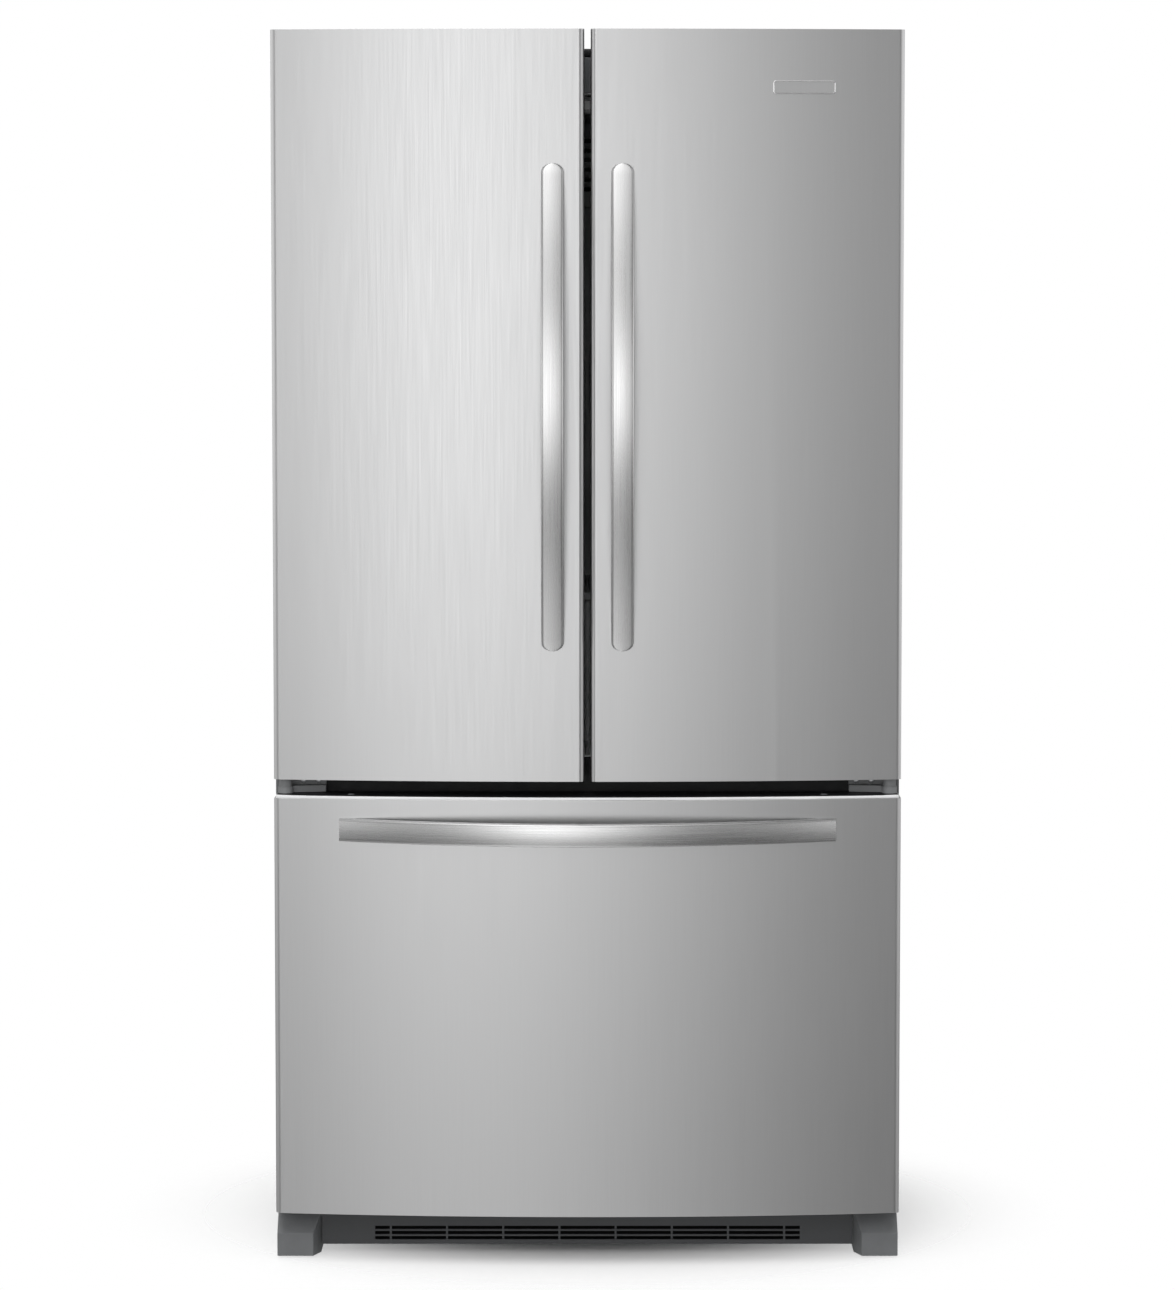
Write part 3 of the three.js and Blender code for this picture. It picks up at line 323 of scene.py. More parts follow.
def level_ring(outline, z):
    return [metres(x, y, z) for x, y in outline]


def box(x, y, z, radius, edge, axis=2):
    """A box with round edges along one axis and a small round on its two ends."""
    lo, hi = metres(min(x), min(y), min(z)), metres(max(x), max(y), max(z))
    a, b = [i for i in range(3) if i != axis]
    cx, cy = (lo[a] + hi[a]) / 2, (lo[b] + hi[b]) / 2
    half_x, half_y = (hi[a] - lo[a]) / 2, (hi[b] - lo[b]) / 2
    radius = min(radius * MM, half_x * 0.98, half_y * 0.98)
    edge = min(edge * MM, radius * 0.9, (hi[axis] - lo[axis]) / 2 * 0.9)
    part = edge * 0.3
    rings = []
    for inset, level in ((edge, lo[axis]), (part, lo[axis] + part), (0, lo[axis] + edge),
                         (0, hi[axis] - edge), (part, hi[axis] - part), (edge, hi[axis])):
        ring = []
        for u, v in rounded_rect(cx, cy, half_x - inset, half_y - inset, max(radius - inset, 1e-5)):
            point = [0.0, 0.0, 0.0]
            point[a], point[b], point[axis] = u, v, level
            ring.append(tuple(point))
        rings.append(ring)
    return loft(rings)


def prism(outline, axis, low, high):
    """A straight prism: outline is pairs in the plane across the axis."""
    rings = []
    at = "xyz".index(axis)
    for level in (low, high):
        rings.append([metres(*pair[:at], level, *pair[at:]) for pair in outline])
    return loft(rings)


def circle(centre, first, second, radius, sides):
    return [tuple(centre + radius * (math.cos(t) * first + math.sin(t) * second))
            for t in (TURN * k / sides for k in range(sides))]


def tube(points, radius, sides=10, closed=False):
    """A round tube of a radius in millimetres through points in metres."""
    path = [Vector(p) for p in points]
    rings = []
    normal = None
    for i, p in enumerate(path):
        before = path[i - 1] if (i or closed) else p
        after = path[(i + 1) % len(path)] if (i < len(path) - 1 or closed) else p
        along = (after - before).normalized()
        if normal is None:
            normal = along.orthogonal().normalized()
        else:
            normal = (normal - along * normal.dot(along)).normalized()
        rings.append(circle(p, normal, along.cross(normal), radius * MM, sides))
    return loft(rings, closed)


def turned(profile, centre, axis, steps=24):
    """A lathed solid: profile is (radius, height) pairs along an axis vector, centre is in metres."""
    along = Vector(axis).normalized()
    side = along.orthogonal().normalized()
    other = along.cross(side)
    closed = profile[0] == profile[-1]
    rings = [circle(Vector(centre) + along * (height * MM), side, other, max(radius, 0.01) * MM, steps)
             for radius, height in (profile[:-1] if closed else profile)]
    return loft(rings, closed)


SCREW_PROFILE = ((1, 0), (1, 0.45), (0.86, 0.8), (0.6, 1), (0.44, 1), (0.40, 0.35), (0.0, 0.3))


def screw_head(x, y, z, axis, radius=3.6, height=1.6):
    """A pan head with a round socket."""
    profile = [(radius * r, height * h) for r, h in SCREW_PROFILE]
    return turned(profile, metres(x, y, z), axis, 18)


def smooth_path(points, steps):
    """A Catmull-Rom curve through the points."""
    path = [Vector(p) for p in points]
    path = [2 * path[0] - path[1], *path, 2 * path[-1] - path[-2]]
    result = []
    for i in range(1, len(path) - 2):
        a, b, c, d = path[i - 1:i + 3]
        for k in range(steps):
            t = k / steps
            result.append(0.5 * ((2 * b) + (c - a) * t + (2 * a - 5 * b + 4 * c - d) * t * t
                                 + (3 * b - a - 3 * c + d) * t ** 3))
    result.append(path[-2])
    return result


def ring_frame(x, y, z, width, radius):
    """A flat frame with round corners: a soft rectangular section taken round the outline."""
    (cx, half_x), (cy, half_y) = middle_half(x), middle_half(y)
    soft = min(1.2, (z[1] - z[0]) / 3)
    section = ((soft, z[0]), (0, z[0] + soft), (0, z[1] - soft), (soft, z[1]),
               (width - soft, z[1]), (width, z[1] - soft), (width, z[0] + soft), (width - soft, z[0]))
    rings = []
    for inset, level in section:
        outline = rounded_rect(cx, cy, half_x - inset, half_y - inset, max(radius - inset * 0.6, 1.5), 5)
        rings.append(level_ring(outline, level))
    return loft(rings, closed=True)


RIM_UNDER, RIM_ROUND = ((0.6, -4.6), (0, -3.5)), ((0, -1), (0.4, -0.3), (1.0, 0))


def open_tub(x, y, z, wall, radius, foot_radius, flare, rim=0.0):
    """A moulded tub: round corners, a curved foot, sides that flare upwards, and a rolled rim."""
    (cx, half_x), (cy, half_y) = middle_half(x), middle_half(y)
    low, high = z
    foot = [(flare + foot_radius * (1 - math.sin(t)), low + foot_radius * (1 - math.cos(t)))
            for t in (QUARTER * k / 4 for k in range(5))]
    outer = foot + [(rim, high - 5)]
    outer += [(inset, high + drop) for inset, drop in (RIM_UNDER if rim else ()) + RIM_ROUND]
    inner = [(rim + wall - 0.6, high), (rim + wall, high - 1), (rim + wall, high - 6)]
    inner += [(wall + inset, wall + level) for inset, level in reversed(foot)]
    rings = []
    for inset, level in outer + inner:
        outline = rounded_rect(cx, cy, half_x - inset, half_y - inset, max(radius - inset * 0.5, 2), 6)
        rings.append(level_ring(outline, level))
    return loft(rings)


def cove(along, ends, corner, toward, radius, steps=6):
    """A hollow corner fillet along one axis: corner is its place and toward the two signs into the room."""
    (a0, b0), (sa, sb) = corner, toward
    sunk = 0.5
    outline = [(a0 - sa * sunk, b0 - sb * sunk), (a0 + sa * radius, b0 - sb * sunk)]
    for k in range(steps + 1):
        t = QUARTER * k / steps
        outline.append((a0 + sa * radius * (1 - math.sin(t)), b0 + sb * radius * (1 - math.cos(t))))
    outline.append((a0 - sa * sunk, b0 + sb * radius))
    return prism(outline, along, *ends)


# -------------------- Sizes read from the frame
def node_box(node):
    lo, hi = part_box(node)
    return lo / MM, hi / MM


PANEL_LO, PANEL_HI = node_box("drawer_panel")
HALF_WIDTH = PANEL_HI.x
CABINET_TOP = node_box("cabinet_shell")[1].z
HANDLE_FRONT = node_box("left_door_handle")[0].y
DRAWER_TOP = node_box("drawer_liner")[1].z
CROWN = 28
EDGE_Y = PANEL_LO.y + CROWN
WALL_IN = 2
FRESH_LO, FRESH_HI = node_box("fresh_food_liner")
ROOM_X, ROOM_BACK = FRESH_HI.x - WALL_IN, FRESH_HI.y - WALL_IN
ROOM_FLOOR, ROOM_TOP = FRESH_LO.z + WALL_IN, FRESH_HI.z - WALL_IN


def face_y(x):
    """The bowed fronts' face."""
    return EDGE_Y - CROWN * (1 - (x / HALF_WIDTH) ** 2)


def face_ring(outline, y):
    """A ring in an upright plane, or on a curved face when y is a function of x."""
    return [metres(x, y(x) if callable(y) else y, z) for x, z in outline]


# -------------------- Handles
BAR = {"crown": 0.45, "corner": 3.4, "back_round": 0.6, "end_reach": 9, "thick": 14, "sunk": 0.3}
BAR_STATIONS, TIP, TIP_DROP = 72, 13, 3.0


def bar_section(half, out, back, crown):
    """(across, y) outline of a bar: a slightly convex front with round corners and a flat back."""
    half = max(half, 0.5)
    radius = min(BAR["corner"], half * 0.9, max(back - out, 0.6) * 0.48)
    steps = 5
    points = [(u * (half - radius), out + crown * u * u) for u in (-1 + 2 * k / 8 for k in range(9))]
    corner_y = out + crown + radius
    trim = BAR["back_round"]
    corner = [(half - radius + radius * math.sin(t), corner_y - radius * math.cos(t))
              for t in (QUARTER * i / steps for i in range(1, steps + 1))]
    corner += [(half, max(back - trim, corner_y)), (half - trim, back)]
    return points + corner + [(-across, y) for across, y in reversed(corner)]


def bowed_bar(span, half, faces, reach, tip, place):
    """A bowed bar along its length: place(along, across, y) puts a point of it in the frame."""
    low, high = span
    rings = []
    for i in range(BAR_STATIONS + 1):
        s = 0.5 - 0.5 * math.cos(math.pi * i / BAR_STATIONS)
        along = low + (high - low) * s
        t = 2 * s - 1
        out = BAR["end_reach"] + (reach - BAR["end_reach"]) * (1 - t * t)
        from_tip = min(along - low, high - along)
        width = half
        if from_tip < tip:
            width = half * math.sqrt(max(0.0, 1 - (1 - from_tip / tip) ** 2))
            out -= TIP_DROP * (1 - from_tip / tip) ** 2
        face = faces(along)
        back = face - max(BAR["sunk"], out - BAR["thick"])
        section = bar_section(width, face - out, back, BAR["crown"] * width / half)
        rings.append([metres(*place(along, across, y)) for across, y in section])
    return loft(rings)


def door_handles():
    for name, _ in SIDES:
        lo, hi = node_box(f"{name}_door_handle")
        middle, half = middle_half((lo.x, hi.x))
        face = face_y(abs(middle) - half)
        bar = bowed_bar((lo.z, hi.z), half, lambda z: face, face - HANDLE_FRONT, TIP,
                        lambda along, across, y: (middle + across, y, along))
        add(f"{name}_handle_bar", HANDLE_STEEL, bar, body=f"{name}_door", replaces=[f"{name}_door_handle"])


def drawer_handle():
    lo, hi = node_box("drawer_handle")
    middle, half = middle_half((lo.z, hi.z))
    bar = bowed_bar((lo.x, hi.x), half, face_y, face_y(0) - HANDLE_FRONT, 0,
                    lambda along, across, y: (along, y, middle + across))
    add("drawer_handle_bar", HANDLE_STEEL_ACROSS, bar, body="freezer_drawer", replaces=["drawer_handle"])


# -------------------- Badge: a blank plate with a raised border
BADGE_BORDER = ((0, 0.3), (0, 1.6), (0.5, 2.0), (1.1, 2.0), (1.6, 1.5), (1.6, 0.3))
BADGE_PLATE = ((1.7, 0.3), (1.7, 1.0), (2.1, 1.1))
BADGE_CORNER = 3.4


def badge():
    lo, hi = node_box("badge_plate")
    (cx, half_x), (cz, half_z) = middle_half((lo.x, hi.x)), middle_half((lo.z, hi.z))

    def rings(section):
        return [face_ring(rounded_rect(cx, cz, half_x - inset, half_z - inset, BADGE_CORNER - 0.7 * inset, 5),
                          lambda x: face_y(x) - height) for inset, height in section]

    add("badge_border", BADGE_METAL, loft(rings(BADGE_BORDER), closed=True), body="right_door")
    add("badge_blank", STEEL, loft(rings(BADGE_PLATE)), body="right_door", replaces=["badge_plate"])


# -------------------- Gaskets
GASKET_WIDTH = 20
GASKET_PROFILE = (
    (0.0, 0.0), (20, 0.0), (20, 1.6), (17.5, 2.6), (19.2, 3.6), (19.2, 4.6), (17.6, 5.4), (17.6, 7.2),
    (17.0, 7.4), (3.0, 7.4), (2.4, 7.2), (2.4, 5.4), (0.8, 4.6), (0.8, 3.6), (2.5, 2.6), (0.0, 1.6),
)


def gasket(name, node, body, width):
    """A magnetic bellows seal swept round a rectangle with mitred corners."""
    lo, hi = node_box(node)
    scale = width / GASKET_WIDTH
    corners = ((lo.x, lo.z, 1, 1), (hi.x, lo.z, -1, 1), (hi.x, hi.z, -1, -1), (lo.x, hi.z, 1, -1))
    rings = [[metres(x + dx * across * scale, lo.y + height, z + dz * across * scale)
              for across, height in GASKET_PROFILE] for x, z, dx, dz in corners]
    add(name, RUBBER, loft(rings, closed=True), body=body, replaces=[node])


# -------------------- Top of the cabinet
COVER = {"x": 404, "y": -186, "half_x": 44, "half_y": 51, "corner": 9, "height": 30}
COVER_SLOPE, COVER_LEVEL = 15, 0.35
COVER_ROUND = ((0, 9), (0.6, 9), (1.4, 4), (3.4, 1.2), (6.5, 0))
COVER_SCREWS = ((-26, 0), (30, 7))
TRIM_HALF, TRIM_Y, TRIM_RISE = 362, (-232, -200), (0.4, 13)
TABS_X, TAB_HALF, TAB_Y, TAB_RISE, TAB_SCREW_Y = (-300, -100, 100, 300), 12, (-200.5, -190), 2.6, -195.5


def hinge_covers():
    """A plastic cap over each top hinge's plate, sloping down to the back; the arm comes out at its front."""
    base, top = CABINET_TOP + 0.6, CABINET_TOP + COVER["height"]
    cy, half_y = COVER["y"], COVER["half_y"]
    for name, side in SIDES:
        cx = side * COVER["x"]
        rings = []
        for k, (inset, drop) in enumerate(COVER_ROUND):
            ring = []
            corner = COVER["corner"] - 0.8 * inset
            for x, y in rounded_rect(cx, cy, COVER["half_x"] - inset, half_y - inset, corner, 5):
                slope = COVER_SLOPE * max(0.0, (y - cy + half_y) / (2 * half_y) - COVER_LEVEL)
                ring.append(metres(x, y, top - drop - slope if k else base))
            rings.append(ring)
        add(f"{name}_hinge_cover", BLACK, loft(rings))
        screws = [screw_head(cx, cy + dy, top - drop, (0, 0, 1), 3.6, 1.8) for dy, drop in COVER_SCREWS]
        add(f"{name}_hinge_cover_screws", ZINC, *screws)


def top_trim():
    """The wiring channel that runs between the hinge covers, along the cabinet's front edge."""
    foot, top = (CABINET_TOP + rise for rise in TRIM_RISE)
    tab_top = CABINET_TOP + TAB_RISE
    parts = [box(around(0, TRIM_HALF), TRIM_Y, (foot, top), 5, 2.5, axis=0)]
    parts += [box(around(x, TAB_HALF), TAB_Y, (foot, tab_top), 3, 0.5) for x in TABS_X]
    add("wiring_channel", BLACK, *parts)
    screws = [screw_head(x, TAB_SCREW_Y, tab_top, (0, 0, 1), 3.2) for x in TABS_X]
    add("wiring_channel_screws", ZINC, *screws)


# -------------------- Front details
CAP_ROUND = ((0, -3.6), (0, 0.2), (0.8, 0.8), (2.4, 1.0))
CAP_STATIONS = 40
CAP_SIDE, CAP_FRONT, CAP_BACK, CAP_CORNER, CORNER_POWER = 3.5, 3.2, 0.4, 5, 60
PLUG_X, PLUG_BEHIND = 341, 14
HINGE_SCREWS_X, HINGE_SCREWS_Y, HINGE_SCREWS_Z = (390, 412), -243.4, 699.5
PLUG_PROFILE = ((5.2, 0.05), (5.2, 1.2), (4.6, 1.7), (3.4, 1.7), (3.0, 1.1), (0, 1.0))


def drawer_top_cap():
    """The black end cap that closes the drawer front's top, just inside its steel."""
    half = HALF_WIDTH - CAP_SIDE
    stations = [-half + 2 * half * k / CAP_STATIONS for k in range(CAP_STATIONS + 1)]
    rings = []
    for inset, rise in CAP_ROUND:
        across = [min(max(x, -half + inset), half - inset) for x in stations]
        front = [(x, face_y(x) + CAP_FRONT + inset + CAP_CORNER * (abs(x) / half) ** CORNER_POWER)
                 for x in across]
        back = [(x, PANEL_HI.y - CAP_BACK - inset) for x in reversed(across)]
        rings.append(level_ring(front + back, DRAWER_TOP + rise))
    add("drawer_top_cap", BLACK, loft(rings), body="freezer_drawer")


def drawer_top_plugs():
    plugs = [turned(PLUG_PROFILE, metres(x, face_y(x) + PLUG_BEHIND, DRAWER_TOP), (0, 0, 1), 20)
             for x in (-PLUG_X, PLUG_X)]
    add("drawer_top_plugs", DARK, *plugs, body="freezer_drawer")


def center_hinge_screws():
    heads = [screw_head(side * x, HINGE_SCREWS_Y, HINGE_SCREWS_Z, (0, -1, 0))
             for side in (-1, 1) for x in HINGE_SCREWS_X]
    add("center_hinge_screws", ZINC, *heads)


def base_baffle():
    """A near-black board close behind the grille's slots: painted shade that stands for the dark machine
    compartment behind them.
    """
    lo, hi = node_box("base_grille")
    board = box((lo.x + 6, hi.x - 6), (hi.y + 1, hi.y + 4), (lo.z + 4, hi.z - 5), 1.2, 0.5, axis=0)
    add("base_baffle", GRILLE_SHADE, board)


# -------------------- Back: panel ribs, screws, cord inlet
RIB_X, RIB_HALF, RIB_END = (-300, -100, 100, 300), 17, 70
RIB_ROUND = ((0, 0.05), (2.5, 0.9), (6, 1.1))
PANEL_SCREWS, COVER_BACK_SCREWS = (-435, -218, 0, 218, 435), (-440, 0, 440)
SCREW_MARGIN = 12
INLET_X, INLET_Z = -405, 305
GROMMET = ((8.7, -3.2), (8.7, 0.0), (13.5, 0.2), (13.5, 1.6), (11, 2.8), (7.6, 2.8), (6.4, 1.6), (6.4, -3.2),
           (8.7, -3.2))


def back_details():
    lo, hi = node_box("rear_panel")
    middle, half = middle_half((lo.z, hi.z))
    ribs = []
    for x in RIB_X:
        rings = []
        for inset, out in RIB_ROUND:
            width, end = RIB_HALF - inset, half - RIB_END - inset
            rings.append(face_ring(rounded_rect(x, middle, width, end, width - 1, 6), hi.y + out))
        ribs.append(loft(rings))
    add("rear_panel_ribs", ZINC, *ribs)
    heads = []
    for x in PANEL_SCREWS:
        for z in (lo.z + SCREW_MARGIN, middle, hi.z - SCREW_MARGIN):
            if x in (PANEL_SCREWS[0], PANEL_SCREWS[-1]) or z != middle:
                heads.append(screw_head(x, hi.y, z, (0, 1, 0), 3.6, 1.1))
    cover_lo, cover_hi = node_box("machine_cover")
    heads += [screw_head(x, cover_hi.y - 0.1, z, (0, 1, 0), 3.8) for x in COVER_BACK_SCREWS
              for z in (cover_lo.z + SCREW_MARGIN, cover_hi.z - SCREW_MARGIN)]
    add("back_screws", ZINC, *heads)
    grommet = turned(GROMMET, metres(INLET_X, cover_hi.y, INLET_Z), (0, 1, 0), 28)
    add("cord_inlet_grommet", TYRE, grommet)


# -------------------- Machine compartment
COIL_X, COIL_Y, COIL_Z = (-390, -215), (182, 342), (72, 250)
COIL = {"rows": 6, "margin_y": 35, "margin_z": 18, "tube": 4.2, "bend": 12}
FINS, FIN_MARGIN, FIN_HALF = 22, 8, 0.4
PIPES = (
    ((0.28, 0.262, 0.187), (0.33, 0.262, 0.19), (0.345, 0.25, 0.22), (0.34, 0.22, 0.27), (0.30, 0.19, 0.295),
     (0.1, 0.175, 0.30), (-0.2, 0.175, 0.295), (-0.29, 0.2, 0.275), (-0.3, 0.217, 0.238)),
    ((0.122, 0.262, 0.147), (0.09, 0.262, 0.15), (0.06, 0.24, 0.18), (0.05, 0.2, 0.25), (0.08, 0.17, 0.31)),
)
PIPE_RADIUS = 3.2


def condenser_coil():
    """Copper serpentine through a pack of thin fins."""
    (x0, x1), rows = COIL_X, COIL["rows"]
    step = (COIL_Z[1] - COIL_Z[0] - 2 * COIL["margin_z"]) / (rows - 1)
    columns = (COIL_Y[0] + COIL["margin_y"], COIL_Y[1] - COIL["margin_y"])
    levels = [COIL_Z[0] + COIL["margin_z"] + row * step for row in range(rows)]
    tubes = []
    for z in levels:
        for y in columns:
            tubes.append(tube([metres(x, y, z) for x in (x0 + 4, (x0 + x1) / 2, x1 - 4)], COIL["tube"]))
    for row, z in enumerate(levels[:-1]):
        x, bulge = (x1 - 2, COIL["bend"]) if row % 2 == 0 else (x0 + 2, -COIL["bend"])
        for y in columns:
            arc = [metres(x + bulge * math.sin(math.pi * k / 8), y, z + step * k / 8) for k in range(9)]
            tubes.append(tube(arc, COIL["tube"]))
    first, last = x0 + FIN_MARGIN, x1 - FIN_MARGIN
    fins = [box(around(first + i * (last - first) / (FINS - 1), FIN_HALF), COIL_Y, COIL_Z, 2, 0.1)
            for i in range(FINS)]
    add("condenser_tubes", COPPER, *tubes)
    add("condenser_fins", BLACK_ENAMEL, *fins)


def machine_piping():
    add("copper_piping", COPPER, *(tube(smooth_path(points, 6), PIPE_RADIUS) for points in PIPES))


PAN_X, PAN_Y, PAN_Z = (-78, 98), (176, 352), (68, 100)


def drain_pan():
    add("drain_pan", BLACK, open_tub(PAN_X, PAN_Y, PAN_Z, 2, 12, 6, 4))


# -------------------- Fresh food compartment
COVE, CEILING_COVE = 12, 16
TRACKS = ((-389, 6.5, (0,)), (0, 13, (-8, 8)), (389, 6.5, (0,)))
TRACK_PITCH, TRACK_SLOT, TRACK_DEPTH, TRACK_END = 22, 11, 4, 14


def liner_coves():
    floor, top = ROOM_FLOOR, ROOM_TOP
    parts = []
    for side in (-1, 1):
        parts.append(cove("z", (floor, top), (side * ROOM_X, ROOM_BACK), (-side, -1), COVE))
        for z, up, radius in ((floor, 1, COVE), (top, -1, CEILING_COVE)):
            parts.append(cove("y", (FRESH_LO.y + 2, ROOM_BACK), (side * ROOM_X, z), (-side, up), radius))
    for z, up in ((floor, 1), (top, -1)):
        parts.append(cove("x", (-ROOM_X, ROOM_X), (ROOM_BACK, z), (-1, up), COVE))
    add("fresh_food_corners", LINER, *parts)


def shelf_tracks():
    low, high = node_box("crisper_cover")[1].z + 12, ROOM_TOP - 26
    front = ROOM_BACK - TRACK_DEPTH
    strips, slot_shades = [], []
    for x, half, columns in TRACKS:
        strips.append(box(around(x, half), (front, ROOM_BACK + 0.5), (low, high), 2.2, 1))
        for column in columns:
            for k in range(int((high - low - 24) / TRACK_PITCH)):
                z = low + TRACK_END + k * TRACK_PITCH
                # Each slot is a flat dark patch on the track: painted shade where the opening is.
                slot_shades.append(box(around(x + column, 2), (front - 0.15, front + 2), (z, z + TRACK_SLOT),
                                 1.8, 0.1, axis=1))
    add("shelf_tracks", LINER, *strips)
    add("shelf_track_slots", DARK, *slot_shades)


SHELF = {"base": 60, "thick": 12, "frame": 14, "corner": 7, "pane": 5}
BRACKET_THICK = 3


def shelf(node):
    """A glass pane in a frame with a raised lip and a bright trim, on two sloping brackets."""
    lo, hi = node_box(node)
    base = lo.z + SHELF["base"]
    top = base + SHELF["thick"]
    label = node.replace("_shelf", "")
    pane = box((lo.x + 8, hi.x - 8), (lo.y + 9, hi.y - 10), (top - SHELF["pane"], top - 0.6), 5, 0.8)
    add(f"{label}_shelf_pane", GLASS, pane, replaces=[node])
    frame_part = ring_frame((lo.x, hi.x), (lo.y + 1.5, hi.y), (base, top), SHELF["frame"], SHELF["corner"])
    lip = box((lo.x, hi.x), (lo.y + 0.6, lo.y + 8), (base - 7, top + 3.6), 3, 2, axis=0)
    add(f"{label}_shelf_frame", LINER, frame_part, lip)
    trim = box((lo.x + 6, hi.x - 6), (lo.y, lo.y + 1.6), (base - 2, base + 9), 0.8, 0.6, axis=0)
    add(f"{label}_shelf_trim", CHROME, trim)
    outline = ((hi.y, base + 1), (hi.y, lo.z), (hi.y - 22, lo.z), (hi.y - 34, lo.z + 8),
               (lo.y + 70, base - 4), (lo.y + 58, base + 1))
    arms = [prism(outline, "x", x, x + BRACKET_THICK) for x in (lo.x + 0.5, hi.x - 0.5 - BRACKET_THICK)]
    add(f"{label}_shelf_brackets", WIRE_COAT, *arms, edges=(0.6, 2))


DUCT_HALF, DUCT_Z, DUCT_DEPTH = 150, (1530, 1662), 16
VENT_HALF, VENTS, VENT_PITCH, VENT_LOW, VENT_HEIGHT = 118, 6, 15, 1556, 6


def air_duct():
    front = ROOM_BACK - DUCT_DEPTH
    cover = box(around(0, DUCT_HALF), (front, ROOM_BACK + 0.5), DUCT_Z, 8, 3)
    # The vents are flat dark patches on the cover: painted shade in their openings.
    vent_shades = [box(around(0, VENT_HALF), (front - 0.6, front + 4), (z, z + VENT_HEIGHT), 2.8, 0.4, axis=1)
             for z in (VENT_LOW + k * VENT_PITCH for k in range(VENTS))]
    add("air_duct_cover", LINER, cover)
    add("air_duct_vents", DARK, *vent_shades)


HOUSING_HALF, HOUSING_Y, HOUSING_DROP = 172, (-168, -58), 26
KEYS_X = (-98, -70, -42, 42, 70, 98)
LENS_HALF, LENS_Y, LENS_DROP = 118, (-46, 66), 24
LENS_RIB_HALF, LENS_RIBS_Y = 104, range(-32, 54, 8)


def ceiling_parts():
    top, front = ROOM_TOP, HOUSING_Y[0]
    housing = box(around(0, HOUSING_HALF), HOUSING_Y, (top - HOUSING_DROP, top + 0.5), 14, 5)
    add("control_housing", LINER, housing)
    glass = box((-120, 120), (front - 0.8, front + 2), (top - 20, top - 6), 3, 0.6, axis=1)
    add("control_panel", SCREEN, glass)
    keys = [box(around(x, 7), (front - 1.4, front - 0.4), (top - 16.5, top - 9.5), 3, 0.3, axis=1)
            for x in KEYS_X]
    add("control_keys", MARK, *keys)
    lens = open_tub(around(0, LENS_HALF), LENS_Y, (top - LENS_DROP, top), 2, 18, 10, 1)
    add("lamp_lens", LAMP, lens)
    ribs = [box(around(0, LENS_RIB_HALF), (y, y + 2), around(top - LENS_DROP, 1), 0.9, 0.4, axis=0)
            for y in LENS_RIBS_Y]
    add("lamp_lens_ribs", LAMP, *ribs)


def crisper(name):
    """A clear drawer with a rolled rim, a finger pull and a band across its front."""
    node = f"{name}_crisper"
    lo, hi = node_box(node)
    front = lo.y + 6
    tub = open_tub((lo.x, hi.x), (front, hi.y), (lo.z, hi.z), 2.6, 16, 12, 5, 1.6)
    add(f"{name}_crisper_box", CLEAR, tub, body=node, replaces=[node])
    pull = box((lo.x + 60, hi.x - 60), (lo.y, front + 3), (hi.z - 42, hi.z - 30), 3.4, 2.5, axis=0)
    band = box((lo.x + 14, hi.x - 14), (front - 0.7, front + 3), (hi.z - 26, hi.z - 8), 1.2, 1.2, axis=0)
    add(f"{name}_crisper_pull", FROSTED, pull, band, body=node)


def crisper_cover():
    """Two glass panes in one frame over the crispers, with their humidity sliders in its front."""
    lo, hi = node_box("crisper_cover")
    frame_z, pane_z, post = (hi.z - 12, hi.z), (hi.z - 5, hi.z - 0.6), 12
    panes = [box(x, (lo.y + 24, hi.y - 14), pane_z, 5, 0.8)
             for x in ((lo.x + 10, -post), (post, hi.x - 10))]
    add("crisper_cover_panes", GLASS, *panes, replaces=["crisper_cover"])
    parts = [ring_frame(x, (lo.y + 1, hi.y), frame_z, 18, 6) for x in ((lo.x, 0.5), (-0.5, hi.x))]
    parts.append(box((lo.x, hi.x), (lo.y, lo.y + 28), (hi.z - 12, hi.z + 2), 4, 2, axis=0))
    parts.append(box((-5, 5), (lo.y + 6, hi.y - 5), (lo.z, hi.z - 10), 3, 0.5))
    add("crisper_cover_frame", LINER, *parts)
    slot_shades, sliders = [], []
    for x in (-200, 200):
        # The slots are flat dark patches: painted shade in the openings the sliders run in.
        slot_shades.append(box(around(x, 46), (lo.y - 0.25, lo.y + 2), (hi.z - 8, hi.z - 3), 2.4, 0.1, axis=1))
        sliders.append(box((x - 24, x - 6), (lo.y - 3, lo.y + 1), (hi.z - 10, hi.z - 1), 2, 1, axis=1))
    add("humidity_slots", DARK, *slot_shades)
    add("humidity_sliders", FROSTED, *sliders)


# -------------------- Doors: bins, dairy box, flap
def door_bin(node):
    """A clear bin with a bright band and the two hangers that hold it to the liner."""
    body, label = BODY_OF[node], node.replace("_bin", "")
    lo, hi = node_box(node)
    tub = open_tub((lo.x + 0.6, hi.x - 0.6), (lo.y, hi.y), (lo.z, hi.z), 2.6, 17, 9, 3, 1.4)
    add(f"{label}_bin_box", CLEAR, tub, body=body, replaces=[node])
    band = box((lo.x + 16, hi.x - 16), (hi.y - 2.2, hi.y + 1.2), (hi.z - 20, hi.z - 6), 1.5, 1.4, axis=0)
    add(f"{label}_bin_band", CHROME, band, body=body)
    hangers = [box((x, x + 4), (lo.y + 6, lo.y + 52), (hi.z - 44, hi.z - 4), 3, 1, axis=0)
               for x in (lo.x + 0.3, hi.x - 4.3)]
    add(f"{label}_bin_hangers", LINER, *hangers, body=body)


def dairy_details():
    lo, hi = node_box("dairy_compartment")
    edge = box((lo.x + 4, hi.x - 4), (hi.y - 8, hi.y - 1), (lo.z + 0.5, lo.z + 5), 2, 1, axis=0)
    add("dairy_front_edge", LINER, edge, body="right_door")
    lo, hi = node_box("dairy_lid")
    trim = box((lo.x + 20, hi.x - 20), (-148.6, -147.6), (lo.z + 14, lo.z + 22), 0.4, 0.4, axis=0)
    add("dairy_lid_trim", CHROME, trim, body="dairy_lid")


